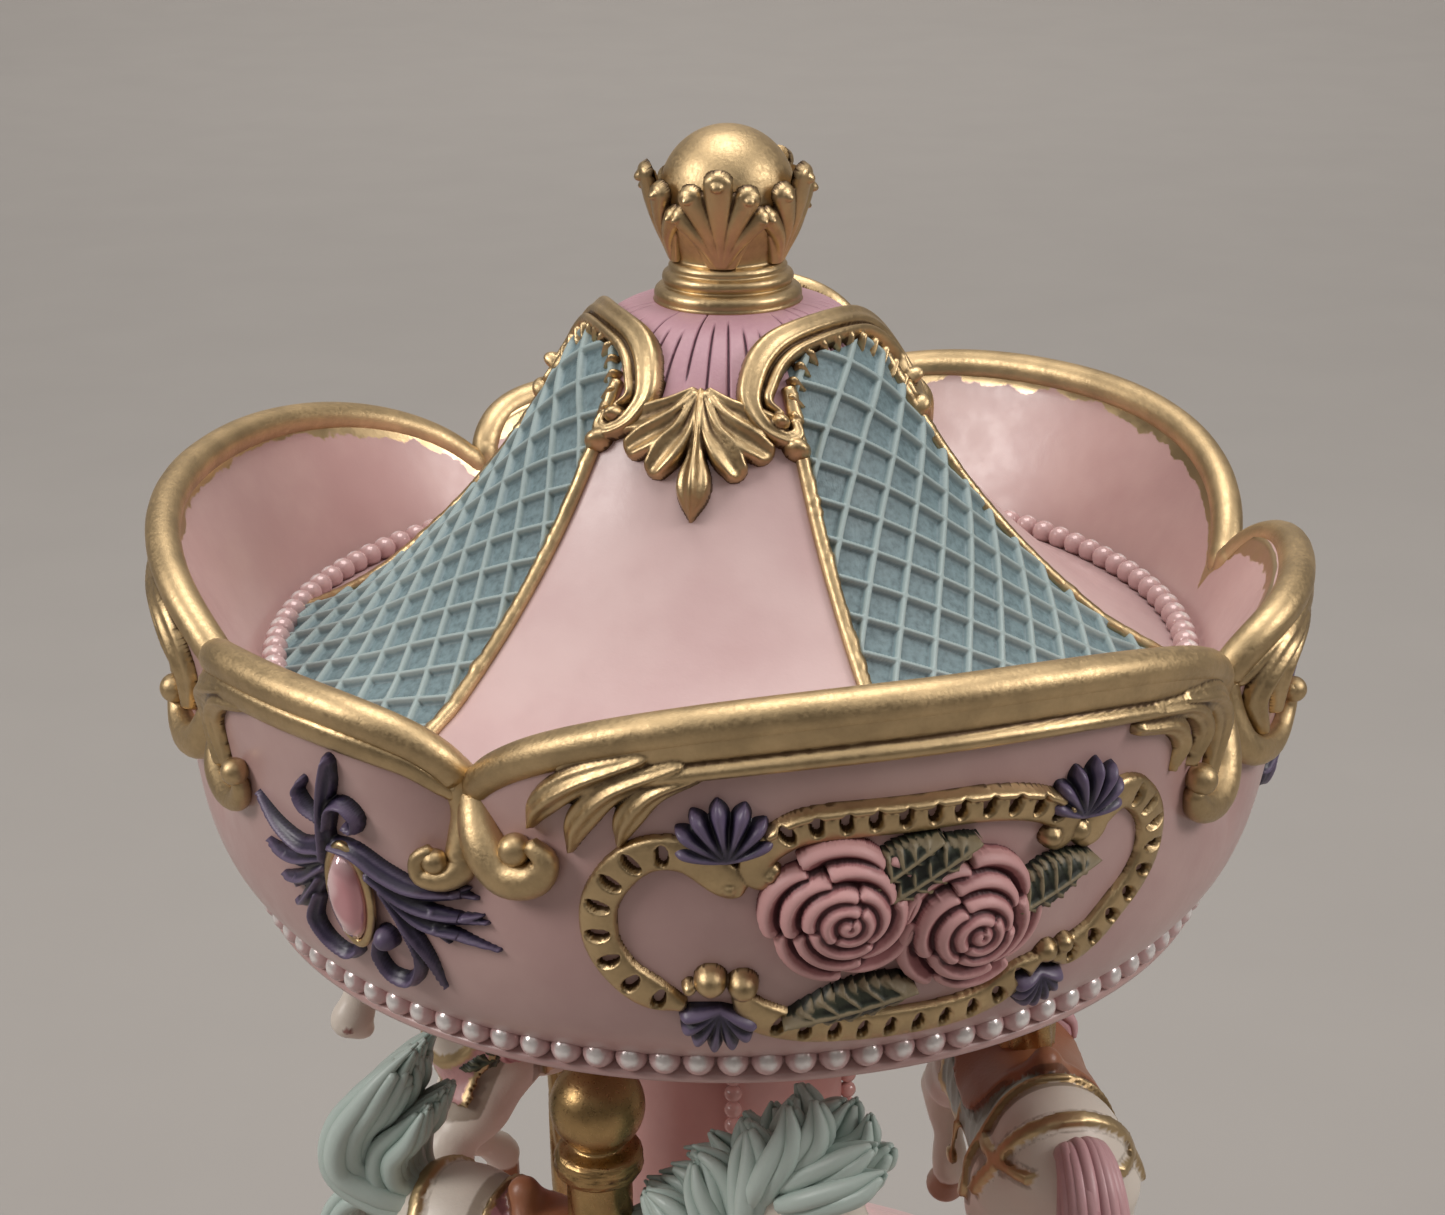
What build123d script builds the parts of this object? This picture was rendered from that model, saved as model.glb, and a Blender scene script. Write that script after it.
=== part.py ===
"""Carousel music box: three horses on a turning platform under a scalloped canopy, on a round base.

Millimetres. The origin is the centre of the base where it stands, +Z is up and -Y is the front.
An azimuth is measured in degrees from the front towards +X.
"""
import os
from math import cos, pi, radians, sin

from build123d import *

os.makedirs("parts", exist_ok=True)

# ---- Driving dimensions ----
REPEAT = 3                      # horses, lobes, cartouches and roof panels all come in threes
TURNS = [i * 360 / REPEAT for i in range(REPEAT)]
REACH = 100                     # longer than any radius of the object
CLEARANCE = 0.05                # radial clearance of a running shaft

# heights of the stack
PAD_HEIGHT = 2.0
COVER_Z = 13.0                  # underside of the bottom cover, above the winding key
COVER_THICKNESS = 3.0
DECK_Z = 45.0                   # underside of the deck that closes the music chamber
DECK_THICKNESS = 3.0
BASE_TOP = 70.0
PLATFORM_Z = 71.5
PLATFORM_TOP = 76.5
RING_Z = 200.0                  # centre of the lower string of pearls on the canopy
CEILING_Z = RING_Z - 2.5
CEILING_TOP = RING_Z + 0.5
SHELF_Z = RING_Z + 28.6         # top of the shelf that carries the roof
COLLAR_Z = RING_Z + 79.8        # top of the grooved collar, where the finial stands

# radii
LEDGE_R = 70.0                  # inner wall of the music chamber
COVER_R = 74.0
PLATFORM_R = 76.0
COLUMN_R = 17.4
COLUMN_BORE_R = 12.0
SPINDLE_R = 4.0
TIE_ROD_R = 2.0
CEILING_R = 65.5

# horses
HORSE_R = 48.0                  # radius of the poles' circle
HORSE_AZIMUTH = -23.0
POLE_R = 4.85
ROD_R = 1.5

# ornament places
LARGE_LOBE = 16.8               # azimuth of the middle of a large lobe
SMALL_LOBE = LARGE_LOBE - 60
CARTOUCHE_AZIMUTH = 14.6
FLOURISH_AZIMUTH = -37.5
NOTCH_Z = RING_Z + 34.4         # height where two lobes meet
PINK_PANEL = -10.5              # azimuth of a plain roof panel
BLUE_PANEL = PINK_PANEL + 60
BLUE_HALF_WIDTH = 28.8          # degrees

# wall outlines as (radius, height), bottom to top
BASE_WALL = [(87, 2), (87, 8), (85, 11.5), (81, 16), (78, 23), (76.5, 33), (76.8, 44), (78.5, 54),
             (80, 59), (80, BASE_TOP)]
BAND_WALL = [(r, RING_Z + z) for r, z in [(68.4, -3.3), (69, 0), (72, 2), (74.2, 5), (76.3, 10), (78.6, 20),
                                          (80.2, 30), (81.6, 40), (82.6, 52), (82.7, 54)]]
BAND_INSIDE = [(r, RING_Z + z) for r, z in [(79.3, 54), (78.6, 48), (75, 40), (70.5, 31), (68.6, 28.6),
                                            (62, 28.6), (62, 25.6), (75, 25.6), (75.4, 20), (73.1, 10),
                                            (71, 5), (68.9, 3.2), (65.5, 1), (65.5, -3.3)]]
ROOF_WALL = [(r, RING_Z + z) for r, z in [(64.3, 28.6), (64.3, 30.2), (60, 32), (52.5, 36), (43.2, 44),
                                          (34, 54), (26.2, 65), (22.5, 69), (19, 73), (16, 75.5), (8, 77),
                                          (TIE_ROD_R, 77)]]
ROOF_INSIDE = [(r, RING_Z + z) for r, z in [(TIE_ROD_R, 74.2), (13, 73.2), (16.5, 71.5), (20.5, 67),
                                            (24, 63.3), (32.2, 52), (41.2, 42), (50.3, 34), (57.5, 30.5),
                                            (61.5, 28.6)]]

# musical movement
BEDPLATE_Z = 19.0
BEDPLATE_TOP = 21.5
BARREL_Z = 23.0
BARREL_TOP = 33.0
BARREL_R = 15.0
CROWN_TEETH = 60
CROWN_R = 17.0                  # pitch radius of the crown gear
CROWN_TOOTH_HEIGHT = 1.3
CYLINDER_TEETH = 12             # pinion on the pinned cylinder's arbor
CYLINDER_PINION_R = CROWN_R * CYLINDER_TEETH / CROWN_TEETH
CYLINDER_Z = BARREL_TOP + 0.6 + CYLINDER_PINION_R
CYLINDER_R = 6.5
WHEEL_TEETH = 28                # driving wheel at the cylinder's far end
WHEEL_R = 7.0
FLY_TEETH = 8
FLY_PINION_R = WHEEL_R * FLY_TEETH / WHEEL_TEETH
FLY_Y = WHEEL_R + FLY_PINION_R
TOOTH_WIDTH = 0.5
COMB_TEETH = 18
COMB_PITCH = 1.25
TRACK_START_X = 22.0            # first row of pins on the cylinder
VANE_X = 52.0                   # the air brake's vane along its axis
VANE_LENGTH = 8.0
STOP_TRAVEL = 4.0
STOP_Y = FLY_Y + 4.6
STOP_TIP_X = VANE_X + VANE_LENGTH + 0.6 + STOP_TRAVEL   # pushed in, the pin ends just short of the vane


def save(piece, name):
    """Label a finished piece and write its STEP file."""
    piece.part.label = name
    export_step(piece.part, f"parts/{name}.step")


def facing(azimuth):
    """A plane through the axis: local X is the tangent, local Y is up, and it faces outwards."""
    a = radians(azimuth)
    return Plane(origin=(0, 0, 0), x_dir=(cos(a), sin(a), 0), z_dir=(sin(a), -cos(a), 0))


def revolved(points):
    """A solid of revolution about Z from a closed outline of (radius, height) points."""
    with BuildPart() as body:
        with BuildSketch(Plane.XZ):
            with BuildLine():
                Polyline(*points, close=True)
            make_face()
        revolve(axis=Axis.Z)
    return body.part


def hoop(radius, height, section):
    """A round ring about Z."""
    with BuildPart() as body:
        with BuildSketch(Plane.XZ):
            with Locations((radius, height)):
                Circle(section)
        revolve(axis=Axis.Z)
    return body.part


def skin(wall, inner, outer):
    """A layer that follows a wall outline, from the inner to the outer offset."""
    return revolved([(r + outer, z) for r, z in wall] + [(r + inner, z) for r, z in reversed(wall)])


def on_wall(layer, outline, azimuth, height):
    """The part of a layer behind a flat outline that is drawn at an azimuth and a height."""
    with BuildPart() as body:
        with BuildSketch(facing(azimuth)):
            with Locations((0, height)):
                add(outline)
        extrude(amount=REACH)
        add(layer, mode=Mode.INTERSECT)
    return body.part


def thrice(shape):
    """Three copies of a shape, evenly spaced around the axis."""
    return [shape.rotate(Axis.Z, turn) for turn in TURNS]


# ---- Outlines of the applied ornaments ----
with BuildSketch() as oval_frame:
    Ellipse(36, 18)
    Ellipse(31.5, 13.7, mode=Mode.SUBTRACT)
ROSE_PLACES = [(-8.6, 1.8), (8.8, -1.6)]
with BuildSketch() as rose_pair:
    with Locations(*ROSE_PLACES):
        Circle(8.5)
with BuildSketch() as leaf_group:
    for x, y, turn in [(3, 10.5, 15), (17.5, 4.5, 20), (-1.5, -10.5, 195)]:
        with Locations(Location((x, y, 0), (0, 0, turn))):
            Ellipse(7.5, 3)
with BuildSketch() as gem_oval:
    Ellipse(3, 6.4)
with BuildSketch() as flourish:
    with Locations((0, 12)):
        Ellipse(2.2, 7)
    for side in (-1, 1):
        with Locations((side * 3, 11)):
            Circle(1.9)
        with Locations(Location((side * 8.5, 1.5, 0), (0, 0, side * -35))):
            Ellipse(8.5, 3)
        with Locations(Location((side * 4.5, -8, 0), (0, 0, side * 55))):
            Ellipse(4.5, 2)
    with Locations((0, 4.5)):
        Ellipse(4, 3)
with BuildSketch() as volute:
    Circle(4)
with BuildSketch() as arch:
    Ellipse(15, 16)
    Ellipse(11.5, 12, mode=Mode.SUBTRACT)
    with Locations((0, -10)):
        Rectangle(40, 20, mode=Mode.SUBTRACT)
    with Locations((-13, -1), (13, -1)):
        Circle(3.2)
with BuildSketch() as acanthus:
    Ellipse(2.6, 8)
    for side in (-1, 1):
        with Locations(Location((side * 3.5, 3.2, 0), (0, 0, side * 60))):
            Ellipse(7, 2.2)
        with Locations(Location((side * 5, 5.5, 0), (0, 0, side * 25))):
            Ellipse(6.5, 2)


# ---- Base ----
plinth_rim_shape = hoop(84.8, 11.8, 2)
base_pearl_shape = hoop(80.3, 57, 1.8)
top_moulding_shape = hoop(80.4, 66.5, 2.3)
STOP_HOLE_Z = CYLINDER_Z

with BuildPart() as base_shell:
    add(revolved(BASE_WALL + [(COVER_R, BASE_TOP), (COVER_R, DECK_Z), (LEDGE_R, DECK_Z),
                              (LEDGE_R, COVER_Z + COVER_THICKNESS), (COVER_R, COVER_Z + COVER_THICKNESS),
                              (COVER_R, PAD_HEIGHT)]))
    for groove in (plinth_rim_shape, base_pearl_shape, top_moulding_shape):
        add(groove, mode=Mode.SUBTRACT)
    with BuildSketch(Plane.YZ.offset(LEDGE_R - 5)):
        with Locations((STOP_Y, STOP_HOLE_Z)):
            Circle(ROD_R + CLEARANCE)
    extrude(amount=20, mode=Mode.SUBTRACT)
save(base_shell, "base_shell")

with BuildPart() as base_plinth_rim:
    add(plinth_rim_shape)
save(base_plinth_rim, "base_plinth_rim")

with BuildPart() as base_pearls:
    add(base_pearl_shape)
save(base_pearls, "base_pearls")

with BuildPart() as base_top_moulding:
    add(top_moulding_shape)
save(base_top_moulding, "base_top_moulding")

BASE_ORNAMENT_Z = 36.0
base_ornament_wall = BASE_WALL[3:9]

with BuildPart() as base_cartouches:
    add(thrice(on_wall(skin(base_ornament_wall, 0, 2), oval_frame.sketch, CARTOUCHE_AZIMUTH, BASE_ORNAMENT_Z)))
save(base_cartouches, "base_cartouches")

with BuildPart() as base_roses:
    add(thrice(on_wall(skin(base_ornament_wall, 0, 5), rose_pair.sketch, CARTOUCHE_AZIMUTH, BASE_ORNAMENT_Z)))
save(base_roses, "base_roses")

with BuildPart() as base_leaves:
    add(thrice(on_wall(skin(base_ornament_wall, 0, 1.8), leaf_group.sketch, CARTOUCHE_AZIMUTH, BASE_ORNAMENT_Z)))
    for neighbour in (base_roses, base_cartouches):
        add(neighbour.part, mode=Mode.SUBTRACT)
save(base_leaves, "base_leaves")

with BuildPart() as base_gems:
    add(thrice(on_wall(skin(base_ornament_wall, 0, 3), gem_oval.sketch, SMALL_LOBE, BASE_ORNAMENT_Z - 2)))
save(base_gems, "base_gems")

with BuildPart() as base_flourishes:
    add(thrice(on_wall(skin(base_ornament_wall, 0, 2), flourish.sketch, SMALL_LOBE, BASE_ORNAMENT_Z - 2)))
    add(base_gems.part, mode=Mode.SUBTRACT)
save(base_flourishes, "base_flourishes")

with BuildPart() as foot_pads:
    with BuildSketch():
        with PolarLocations(80.5, 6):
            Circle(4.5)
    extrude(amount=PAD_HEIGHT)
save(foot_pads, "foot_pads")

COVER_SCREW_R = 71.5
with BuildPart() as bottom_cover:
    with BuildSketch(Plane.XY.offset(COVER_Z)):
        Circle(COVER_R)
        Circle(6, mode=Mode.SUBTRACT)
    extrude(amount=COVER_THICKNESS)
    with BuildSketch(Plane.XY.offset(COVER_Z + COVER_THICKNESS)):
        with Locations((-20, -28), (-20, 16), (44, -28), (44, 16)):
            Circle(3.5)
    extrude(amount=BEDPLATE_Z - COVER_Z - COVER_THICKNESS)
    with PolarLocations(COVER_SCREW_R, 4, start_angle=45):
        with Locations((0, 0, COVER_Z)):
            Cylinder(1.2, COVER_THICKNESS, align=(Align.CENTER, Align.CENTER, Align.MIN), mode=Mode.SUBTRACT)
save(bottom_cover, "bottom_cover")

with BuildPart() as cover_screws:
    with BuildSketch(Plane.XY.offset(COVER_Z - 1.4)):
        with PolarLocations(COVER_SCREW_R, 4, start_angle=45):
            Circle(2.4)
    extrude(amount=1.4)
    with BuildSketch(Plane.XY.offset(COVER_Z)):
        with PolarLocations(COVER_SCREW_R, 4, start_angle=45):
            Circle(1.2)
    extrude(amount=COVER_THICKNESS)
    with BuildSketch(Plane.XY.offset(COVER_Z - 1.4)):
        with PolarLocations(COVER_SCREW_R, 4, start_angle=45):
            Rectangle(3.2, 0.7)
            Rectangle(0.7, 3.2)
    extrude(amount=0.8, mode=Mode.SUBTRACT)
save(cover_screws, "cover_screws")

BUSH_R = 8.0
with BuildPart() as deck_plate:
    with BuildSketch(Plane.XY.offset(DECK_Z)):
        Circle(COVER_R)
        Circle(BUSH_R, mode=Mode.SUBTRACT)
    extrude(amount=DECK_THICKNESS)
save(deck_plate, "deck_plate")

with BuildPart() as spindle_bush:
    with BuildSketch(Plane.XY.offset(DECK_Z)):
        Circle(BUSH_R)
        Circle(SPINDLE_R + CLEARANCE, mode=Mode.SUBTRACT)
    extrude(amount=DECK_THICKNESS)
    with BuildSketch(Plane.XY.offset(DECK_Z + DECK_THICKNESS)):
        Circle(BUSH_R + 3)
        Circle(SPINDLE_R + CLEARANCE, mode=Mode.SUBTRACT)
    extrude(amount=3)
save(spindle_bush, "spindle_bush")

CAM_PEAK_Z = 58.5
CAM_DEPTH = 7.5
CAM_SCOOP_R = 60.0
with BuildPart() as cam_track:
    with BuildSketch(Plane.XY.offset(DECK_Z + DECK_THICKNESS)):
        Circle(HORSE_R + 3.5)
        Circle(HORSE_R - 3.5, mode=Mode.SUBTRACT)
    extrude(amount=CAM_PEAK_Z - DECK_Z - DECK_THICKNESS)
    for turn in TURNS:
        with BuildSketch(facing(HORSE_AZIMUTH + turn)):
            with Locations((0, CAM_PEAK_Z - CAM_DEPTH + CAM_SCOOP_R)):
                Circle(CAM_SCOOP_R)
        extrude(amount=REACH, mode=Mode.SUBTRACT)
save(cam_track, "cam_track")


# ---- Musical movement ----
CYLINDER_START_X = 21.0
CYLINDER_END_X = 45.2
WHEEL_X = 48.0
FLY_END_X = 62.5
BRACKETS_X = (19.4, 46.0)
FLY_BRACKET_X = 61.0
BRACKET_THICKNESS = 1.2
COMB_TIP_Y = -CYLINDER_R - 1.2
COMB_ROOT_Y = -24.0
COMB_BACK_Y = -32.0
COMB_X = (TRACK_START_X - COMB_PITCH / 2, TRACK_START_X + (COMB_TEETH - 0.5) * COMB_PITCH)

with BuildPart() as bedplate:
    with BuildSketch(Plane.XY.offset(BEDPLATE_Z)):
        with BuildLine():
            Polyline((-24, -34), (50, -34), (50, -2), (64, -2), (64, 20), (-24, 20), close=True)
        make_face()
        Circle(2.6, mode=Mode.SUBTRACT)
    extrude(amount=BEDPLATE_TOP - BEDPLATE_Z)
save(bedplate, "movement_bedplate")

with BuildPart() as gear_frame:
    for x in BRACKETS_X:
        with BuildSketch(Plane.YZ.offset(x)):
            with Locations((0, BEDPLATE_TOP)):
                Rectangle(9, CYLINDER_Z - BEDPLATE_TOP, align=(Align.CENTER, Align.MIN))
            with Locations((0, CYLINDER_Z)):
                Circle(4.5)
                Circle(1 + CLEARANCE, mode=Mode.SUBTRACT)
        extrude(amount=BRACKET_THICKNESS)
    for x in (BRACKETS_X[1], FLY_BRACKET_X):
        with BuildSketch(Plane.YZ.offset(x)):
            with Locations((FLY_Y, BEDPLATE_TOP)):
                Rectangle(6, CYLINDER_Z - BEDPLATE_TOP, align=(Align.CENTER, Align.MIN))
            with Locations((FLY_Y, CYLINDER_Z)):
                Circle(3)
                Circle(0.8 + CLEARANCE, mode=Mode.SUBTRACT)
        extrude(amount=BRACKET_THICKNESS)
    with BuildSketch(Plane.XY.offset(BEDPLATE_TOP)):
        with Locations(((COMB_X[0] + COMB_X[1]) / 2, (COMB_ROOT_Y + COMB_BACK_Y) / 2)):
            Rectangle(COMB_X[1] - COMB_X[0], COMB_ROOT_Y - COMB_BACK_Y)
    extrude(amount=CYLINDER_Z - 0.5 - BEDPLATE_TOP)
save(gear_frame, "gear_frame")

COMB_SCREWS = [(COMB_X[0] + 4, (COMB_ROOT_Y + COMB_BACK_Y) / 2), (COMB_X[1] - 4, (COMB_ROOT_Y + COMB_BACK_Y) / 2)]
with BuildPart() as comb:
    with BuildSketch(Plane.XY.offset(CYLINDER_Z - 0.5)):
        with Locations(((COMB_X[0] + COMB_X[1]) / 2, (COMB_ROOT_Y + COMB_BACK_Y) / 2)):
            Rectangle(COMB_X[1] - COMB_X[0], COMB_ROOT_Y - COMB_BACK_Y)
        for i in range(COMB_TEETH):
            with Locations((TRACK_START_X + i * COMB_PITCH, (COMB_ROOT_Y + COMB_TIP_Y) / 2)):
                Rectangle(0.9, COMB_TIP_Y - COMB_ROOT_Y)
    extrude(amount=1)
save(comb, "comb")

with BuildPart() as movement_screws:
    with BuildSketch(Plane.XY.offset(CYLINDER_Z + 0.5)):
        with Locations(*COMB_SCREWS):
            Circle(2.2)
    extrude(amount=1.4)
    with BuildSketch(Plane.XY.offset(BEDPLATE_TOP)):
        with Locations((-20, -28), (-20, 16), (44, 16)):
            Circle(2.4)
    extrude(amount=1.6)
    with BuildSketch(Plane.XY.offset(CYLINDER_Z + 0.5 + 1.4)):
        with Locations(*COMB_SCREWS):
            Rectangle(3.2, 0.6)
    extrude(amount=-0.6, mode=Mode.SUBTRACT)
save(movement_screws, "movement_screws")

with BuildPart() as spring_barrel:
    with BuildSketch(Plane.XY.offset(BARREL_Z)):
        Circle(BARREL_R)
        Circle(2 + CLEARANCE, mode=Mode.SUBTRACT)
    extrude(amount=1)
    with BuildSketch(Plane.XY.offset(BARREL_Z + 1)):
        Circle(BARREL_R)
        Circle(BARREL_R - 1.5, mode=Mode.SUBTRACT)
    extrude(amount=BARREL_TOP - BARREL_Z - 3)
    with BuildSketch(Plane.XY.offset(BARREL_TOP - 2)):
        Circle(CROWN_R + 1.5)
    extrude(amount=2)
    with BuildSketch(Plane.XY.offset(BARREL_TOP)):
        with PolarLocations(CROWN_R, CROWN_TEETH):
            Rectangle(3, TOOTH_WIDTH)
    extrude(amount=CROWN_TOOTH_HEIGHT)
save(spring_barrel, "spring_barrel")

SPRING_INNER_R = 4.2
SPRING_OUTER_R = 12.6
SPRING_COILS = 7
SPRING_STEPS = 24               # points on one coil
SPRING_STRIP = 0.3


def spring_point(step, offset):
    """A point on the coiled strip's centre line, moved out by an offset."""
    share = step / (SPRING_COILS * SPRING_STEPS)
    radius = SPRING_INNER_R + (SPRING_OUTER_R - SPRING_INNER_R) * share + offset
    angle = 2 * pi * step / SPRING_STEPS
    return radius * cos(angle), radius * sin(angle)


with BuildPart() as mainspring:
    with BuildSketch(Plane.XY.offset(BARREL_Z + 1.5)):
        with BuildLine():
            spring_steps = range(SPRING_COILS * SPRING_STEPS + 1)
            outside = [spring_point(i, SPRING_STRIP / 2) for i in spring_steps]
            inside = [spring_point(i, -SPRING_STRIP / 2) for i in reversed(spring_steps)]
            Polyline(*outside, *inside, close=True)
        make_face()
    extrude(amount=6)
save(mainspring, "mainspring")

with BuildPart() as spindle:
    with BuildSketch(Plane.XY.offset(BARREL_TOP)):
        Circle(SPINDLE_R)
    extrude(amount=PLATFORM_Z + 0.5 - BARREL_TOP)
save(spindle, "spindle")


def spur_gear(x, width, count, root_r, tip_r, first_angle):
    """A small spur gear about the X axis, with its first tooth at an angle from +Y."""
    with BuildPart() as body:
        with BuildSketch(Plane.YZ.offset(x)):
            Circle(root_r)
            with PolarLocations((root_r + tip_r) / 2 - 0.1, count, start_angle=first_angle):
                Rectangle(tip_r - root_r + 0.2, TOOTH_WIDTH)
        extrude(amount=width)
    return body.part


PIN_TRACKS = 18
cylinder_pinion = spur_gear(CROWN_R - 1.2, 2.4, CYLINDER_TEETH, 2.5, CYLINDER_PINION_R + 0.45,
                            180 / CYLINDER_TEETH)
cylinder_wheel = spur_gear(WHEEL_X, 2, WHEEL_TEETH, WHEEL_R - 0.6, WHEEL_R + 0.4, 0)
fly_pinion = spur_gear(WHEEL_X - 0.2, 2.4, FLY_TEETH, FLY_PINION_R - 0.6, FLY_PINION_R + 0.4, 180 / FLY_TEETH)

with BuildPart() as cylinder_form:
    add(cylinder_pinion)
    with BuildSketch(Plane.YZ.offset(CROWN_R - 1.2)):
        Circle(1)
    extrude(amount=WHEEL_X + 2 - CROWN_R + 1.2)
    with BuildSketch(Plane.YZ.offset(CYLINDER_START_X)):
        Circle(CYLINDER_R)
    extrude(amount=CYLINDER_END_X - CYLINDER_START_X)
    add(cylinder_wheel)
    for track in range(PIN_TRACKS):
        for turn in (20 + 67 * track % 360, 155 + 101 * track % 180):
            angle = radians(turn)
            middle = CYLINDER_R + 0.1
            with Locations(Location((TRACK_START_X + track * COMB_PITCH, middle * cos(angle), middle * sin(angle)),
                                    (turn, 0, 0))):
                Box(0.4, 1.2, 0.4)
with BuildPart() as tune_cylinder:
    with Locations((0, 0, CYLINDER_Z)):
        add(cylinder_form.part)
save(tune_cylinder, "tune_cylinder")

with BuildPart() as fly_form:
    add(fly_pinion)
    with BuildSketch(Plane.YZ.offset(BRACKETS_X[1] - 0.3)):
        Circle(0.8)
    extrude(amount=FLY_END_X - BRACKETS_X[1] + 0.3)
    with Locations((VANE_X + VANE_LENGTH / 2, 0, 0)):
        Box(VANE_LENGTH, 0.5, 11.2)
with BuildPart() as fly:
    with Locations((0, FLY_Y, CYLINDER_Z)):
        add(fly_form.part)
save(fly, "air_brake_fly")

KEY_Z = 3.0
with BuildPart() as winding_arbor:
    with BuildSketch(Plane.XY.offset(KEY_Z + 6)):
        Circle(2)
    extrude(amount=BARREL_TOP - 2.4 - KEY_Z - 6)
save(winding_arbor, "winding_arbor")

with BuildPart() as winding_key:
    with BuildSketch(Plane.XY.offset(KEY_Z)):
        Circle(4.2)
    extrude(amount=COVER_Z - 0.6 - KEY_Z)
    with BuildSketch(Plane.XZ):
        for side in (-1, 1):
            with Locations((side * 10, KEY_Z + 4.2)):
                Ellipse(8, 4.2)
                Ellipse(4, 1.9, mode=Mode.SUBTRACT)
    extrude(amount=1.4, both=True)
    add(winding_arbor.part, mode=Mode.SUBTRACT)
save(winding_key, "winding_key")

KNOB_X = 81.2
with BuildPart() as stop_knob:
    with BuildSketch(Plane.YZ.offset(STOP_TIP_X)):
        with Locations((STOP_Y, STOP_HOLE_Z)):
            Circle(ROD_R)
    extrude(amount=KNOB_X - STOP_TIP_X)
    with BuildSketch(Plane.YZ.offset(KNOB_X)):
        with Locations((STOP_Y, STOP_HOLE_Z)):
            Circle(4)
    extrude(amount=3.3)
save(stop_knob, "stop_knob")


# ---- Platform and column ----
horse_planes = []
for turn in TURNS:
    azimuth = radians(HORSE_AZIMUTH + turn)
    horse_planes.append(Plane(origin=(HORSE_R * sin(azimuth), -HORSE_R * cos(azimuth), 0),
                              x_dir=(cos(azimuth), sin(azimuth), 0), z_dir=(0, 0, 1)))
POLE_PLACES = [plane.origin for plane in horse_planes]
GUIDE_R = 3.0                   # outer radius of a rod's guide bush

trim_shape = hoop(PLATFORM_R, 74, 1.8)
with BuildPart() as platform:
    with BuildSketch(Plane.XY.offset(PLATFORM_Z)):
        Circle(PLATFORM_R)
        with Locations(*POLE_PLACES):
            Circle(GUIDE_R, mode=Mode.SUBTRACT)
    extrude(amount=PLATFORM_TOP - PLATFORM_Z)
    with BuildSketch(Plane.XY.offset(PLATFORM_Z - 7)):
        Circle(10)
    extrude(amount=7)
    add(spindle.part, mode=Mode.SUBTRACT)
    with BuildSketch(Plane.XY.offset(PLATFORM_Z)):
        Circle(TIE_ROD_R)
    extrude(amount=PLATFORM_TOP - PLATFORM_Z, mode=Mode.SUBTRACT)
    add(trim_shape, mode=Mode.SUBTRACT)
save(platform, "platform")

with BuildPart() as platform_trim:
    add(trim_shape)
save(platform_trim, "platform_trim")

with BuildPart() as guide_bushes:
    for low, high in ((PLATFORM_Z - 0.5, PLATFORM_TOP + 0.5), (CEILING_Z - 0.5, CEILING_TOP + 0.5)):
        with BuildSketch(Plane.XY.offset(low)):
            with Locations(*POLE_PLACES):
                Circle(GUIDE_R)
                Circle(ROD_R + CLEARANCE, mode=Mode.SUBTRACT)
        extrude(amount=high - low)
save(guide_bushes, "guide_bushes")

with BuildPart() as column:
    with BuildSketch(Plane.XY.offset(PLATFORM_TOP)):
        Circle(COLUMN_R)
        Circle(COLUMN_BORE_R, mode=Mode.SUBTRACT)
    extrude(amount=CEILING_Z - PLATFORM_TOP)
save(column, "column")

MOULDING = 5.5                  # height of the column's end mouldings
with BuildPart() as column_mouldings:
    add(revolved([(COLUMN_R, PLATFORM_TOP), (22.5, PLATFORM_TOP), (22.5, PLATFORM_TOP + 2),
                  (19.8, PLATFORM_TOP + MOULDING), (COLUMN_R, PLATFORM_TOP + MOULDING)]))
    add(revolved([(COLUMN_R, CEILING_Z), (22.5, CEILING_Z), (22.5, CEILING_Z - 2),
                  (19.8, CEILING_Z - MOULDING), (COLUMN_R, CEILING_Z - MOULDING)]))
save(column_mouldings, "column_mouldings")

PEARL_R = 1.25                  # pearls on the column
with BuildPart() as column_pearls:
    with BuildSketch(Plane.XY.offset(PLATFORM_TOP + MOULDING)):
        with PolarLocations(COLUMN_R + PEARL_R, 4, start_angle=-90):
            Circle(PEARL_R)
    extrude(amount=CEILING_Z - PLATFORM_TOP - 2 * MOULDING)
save(column_pearls, "column_pearls")

with BuildPart() as tie_rod:
    with BuildSketch(Plane.XY.offset(PLATFORM_Z + 0.5)):
        Circle(TIE_ROD_R)
    extrude(amount=RING_Z + 92 - PLATFORM_Z - 0.5)
save(tie_rod, "tie_rod")


# ---- Canopy ----
with BuildPart() as ceiling_plate:
    with BuildSketch(Plane.XY.offset(CEILING_Z)):
        Circle(CEILING_R)
        Circle(TIE_ROD_R, mode=Mode.SUBTRACT)
        with Locations(*POLE_PLACES):
            Circle(GUIDE_R, mode=Mode.SUBTRACT)
    extrude(amount=CEILING_TOP - CEILING_Z)
save(ceiling_plate, "ceiling_plate")

# each lobe as (azimuth, half width, rise above the notches)
LOBES = [(LARGE_LOBE, 53.7, 19.6), (SMALL_LOBE, 25.7, 13.6)]
RIM = 3.8                       # height of the gold rim
lower_pearl_shape = hoop(70, RING_Z, 1.9)


def lobe_prism(azimuth, half_width, rise):
    """A prism that holds one lobe of the scalloped edge, from the notches up."""
    with BuildPart() as body:
        with BuildSketch(facing(azimuth)):
            with Locations((0, NOTCH_Z)):
                Ellipse(half_width, rise)
            with Locations((0, NOTCH_Z - rise)):
                Rectangle(3 * half_width, 2 * rise, mode=Mode.SUBTRACT)
        extrude(amount=REACH)
    return body.part


with BuildPart() as band_limits:
    with BuildSketch(Plane.XY.offset(RING_Z - 10)):
        Circle(REACH)
    extrude(amount=NOTCH_Z - RING_Z + 10)
    for lobe_azimuth, half_width, rise in LOBES:
        add(thrice(lobe_prism(lobe_azimuth, half_width - RIM, rise - RIM)))

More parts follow.
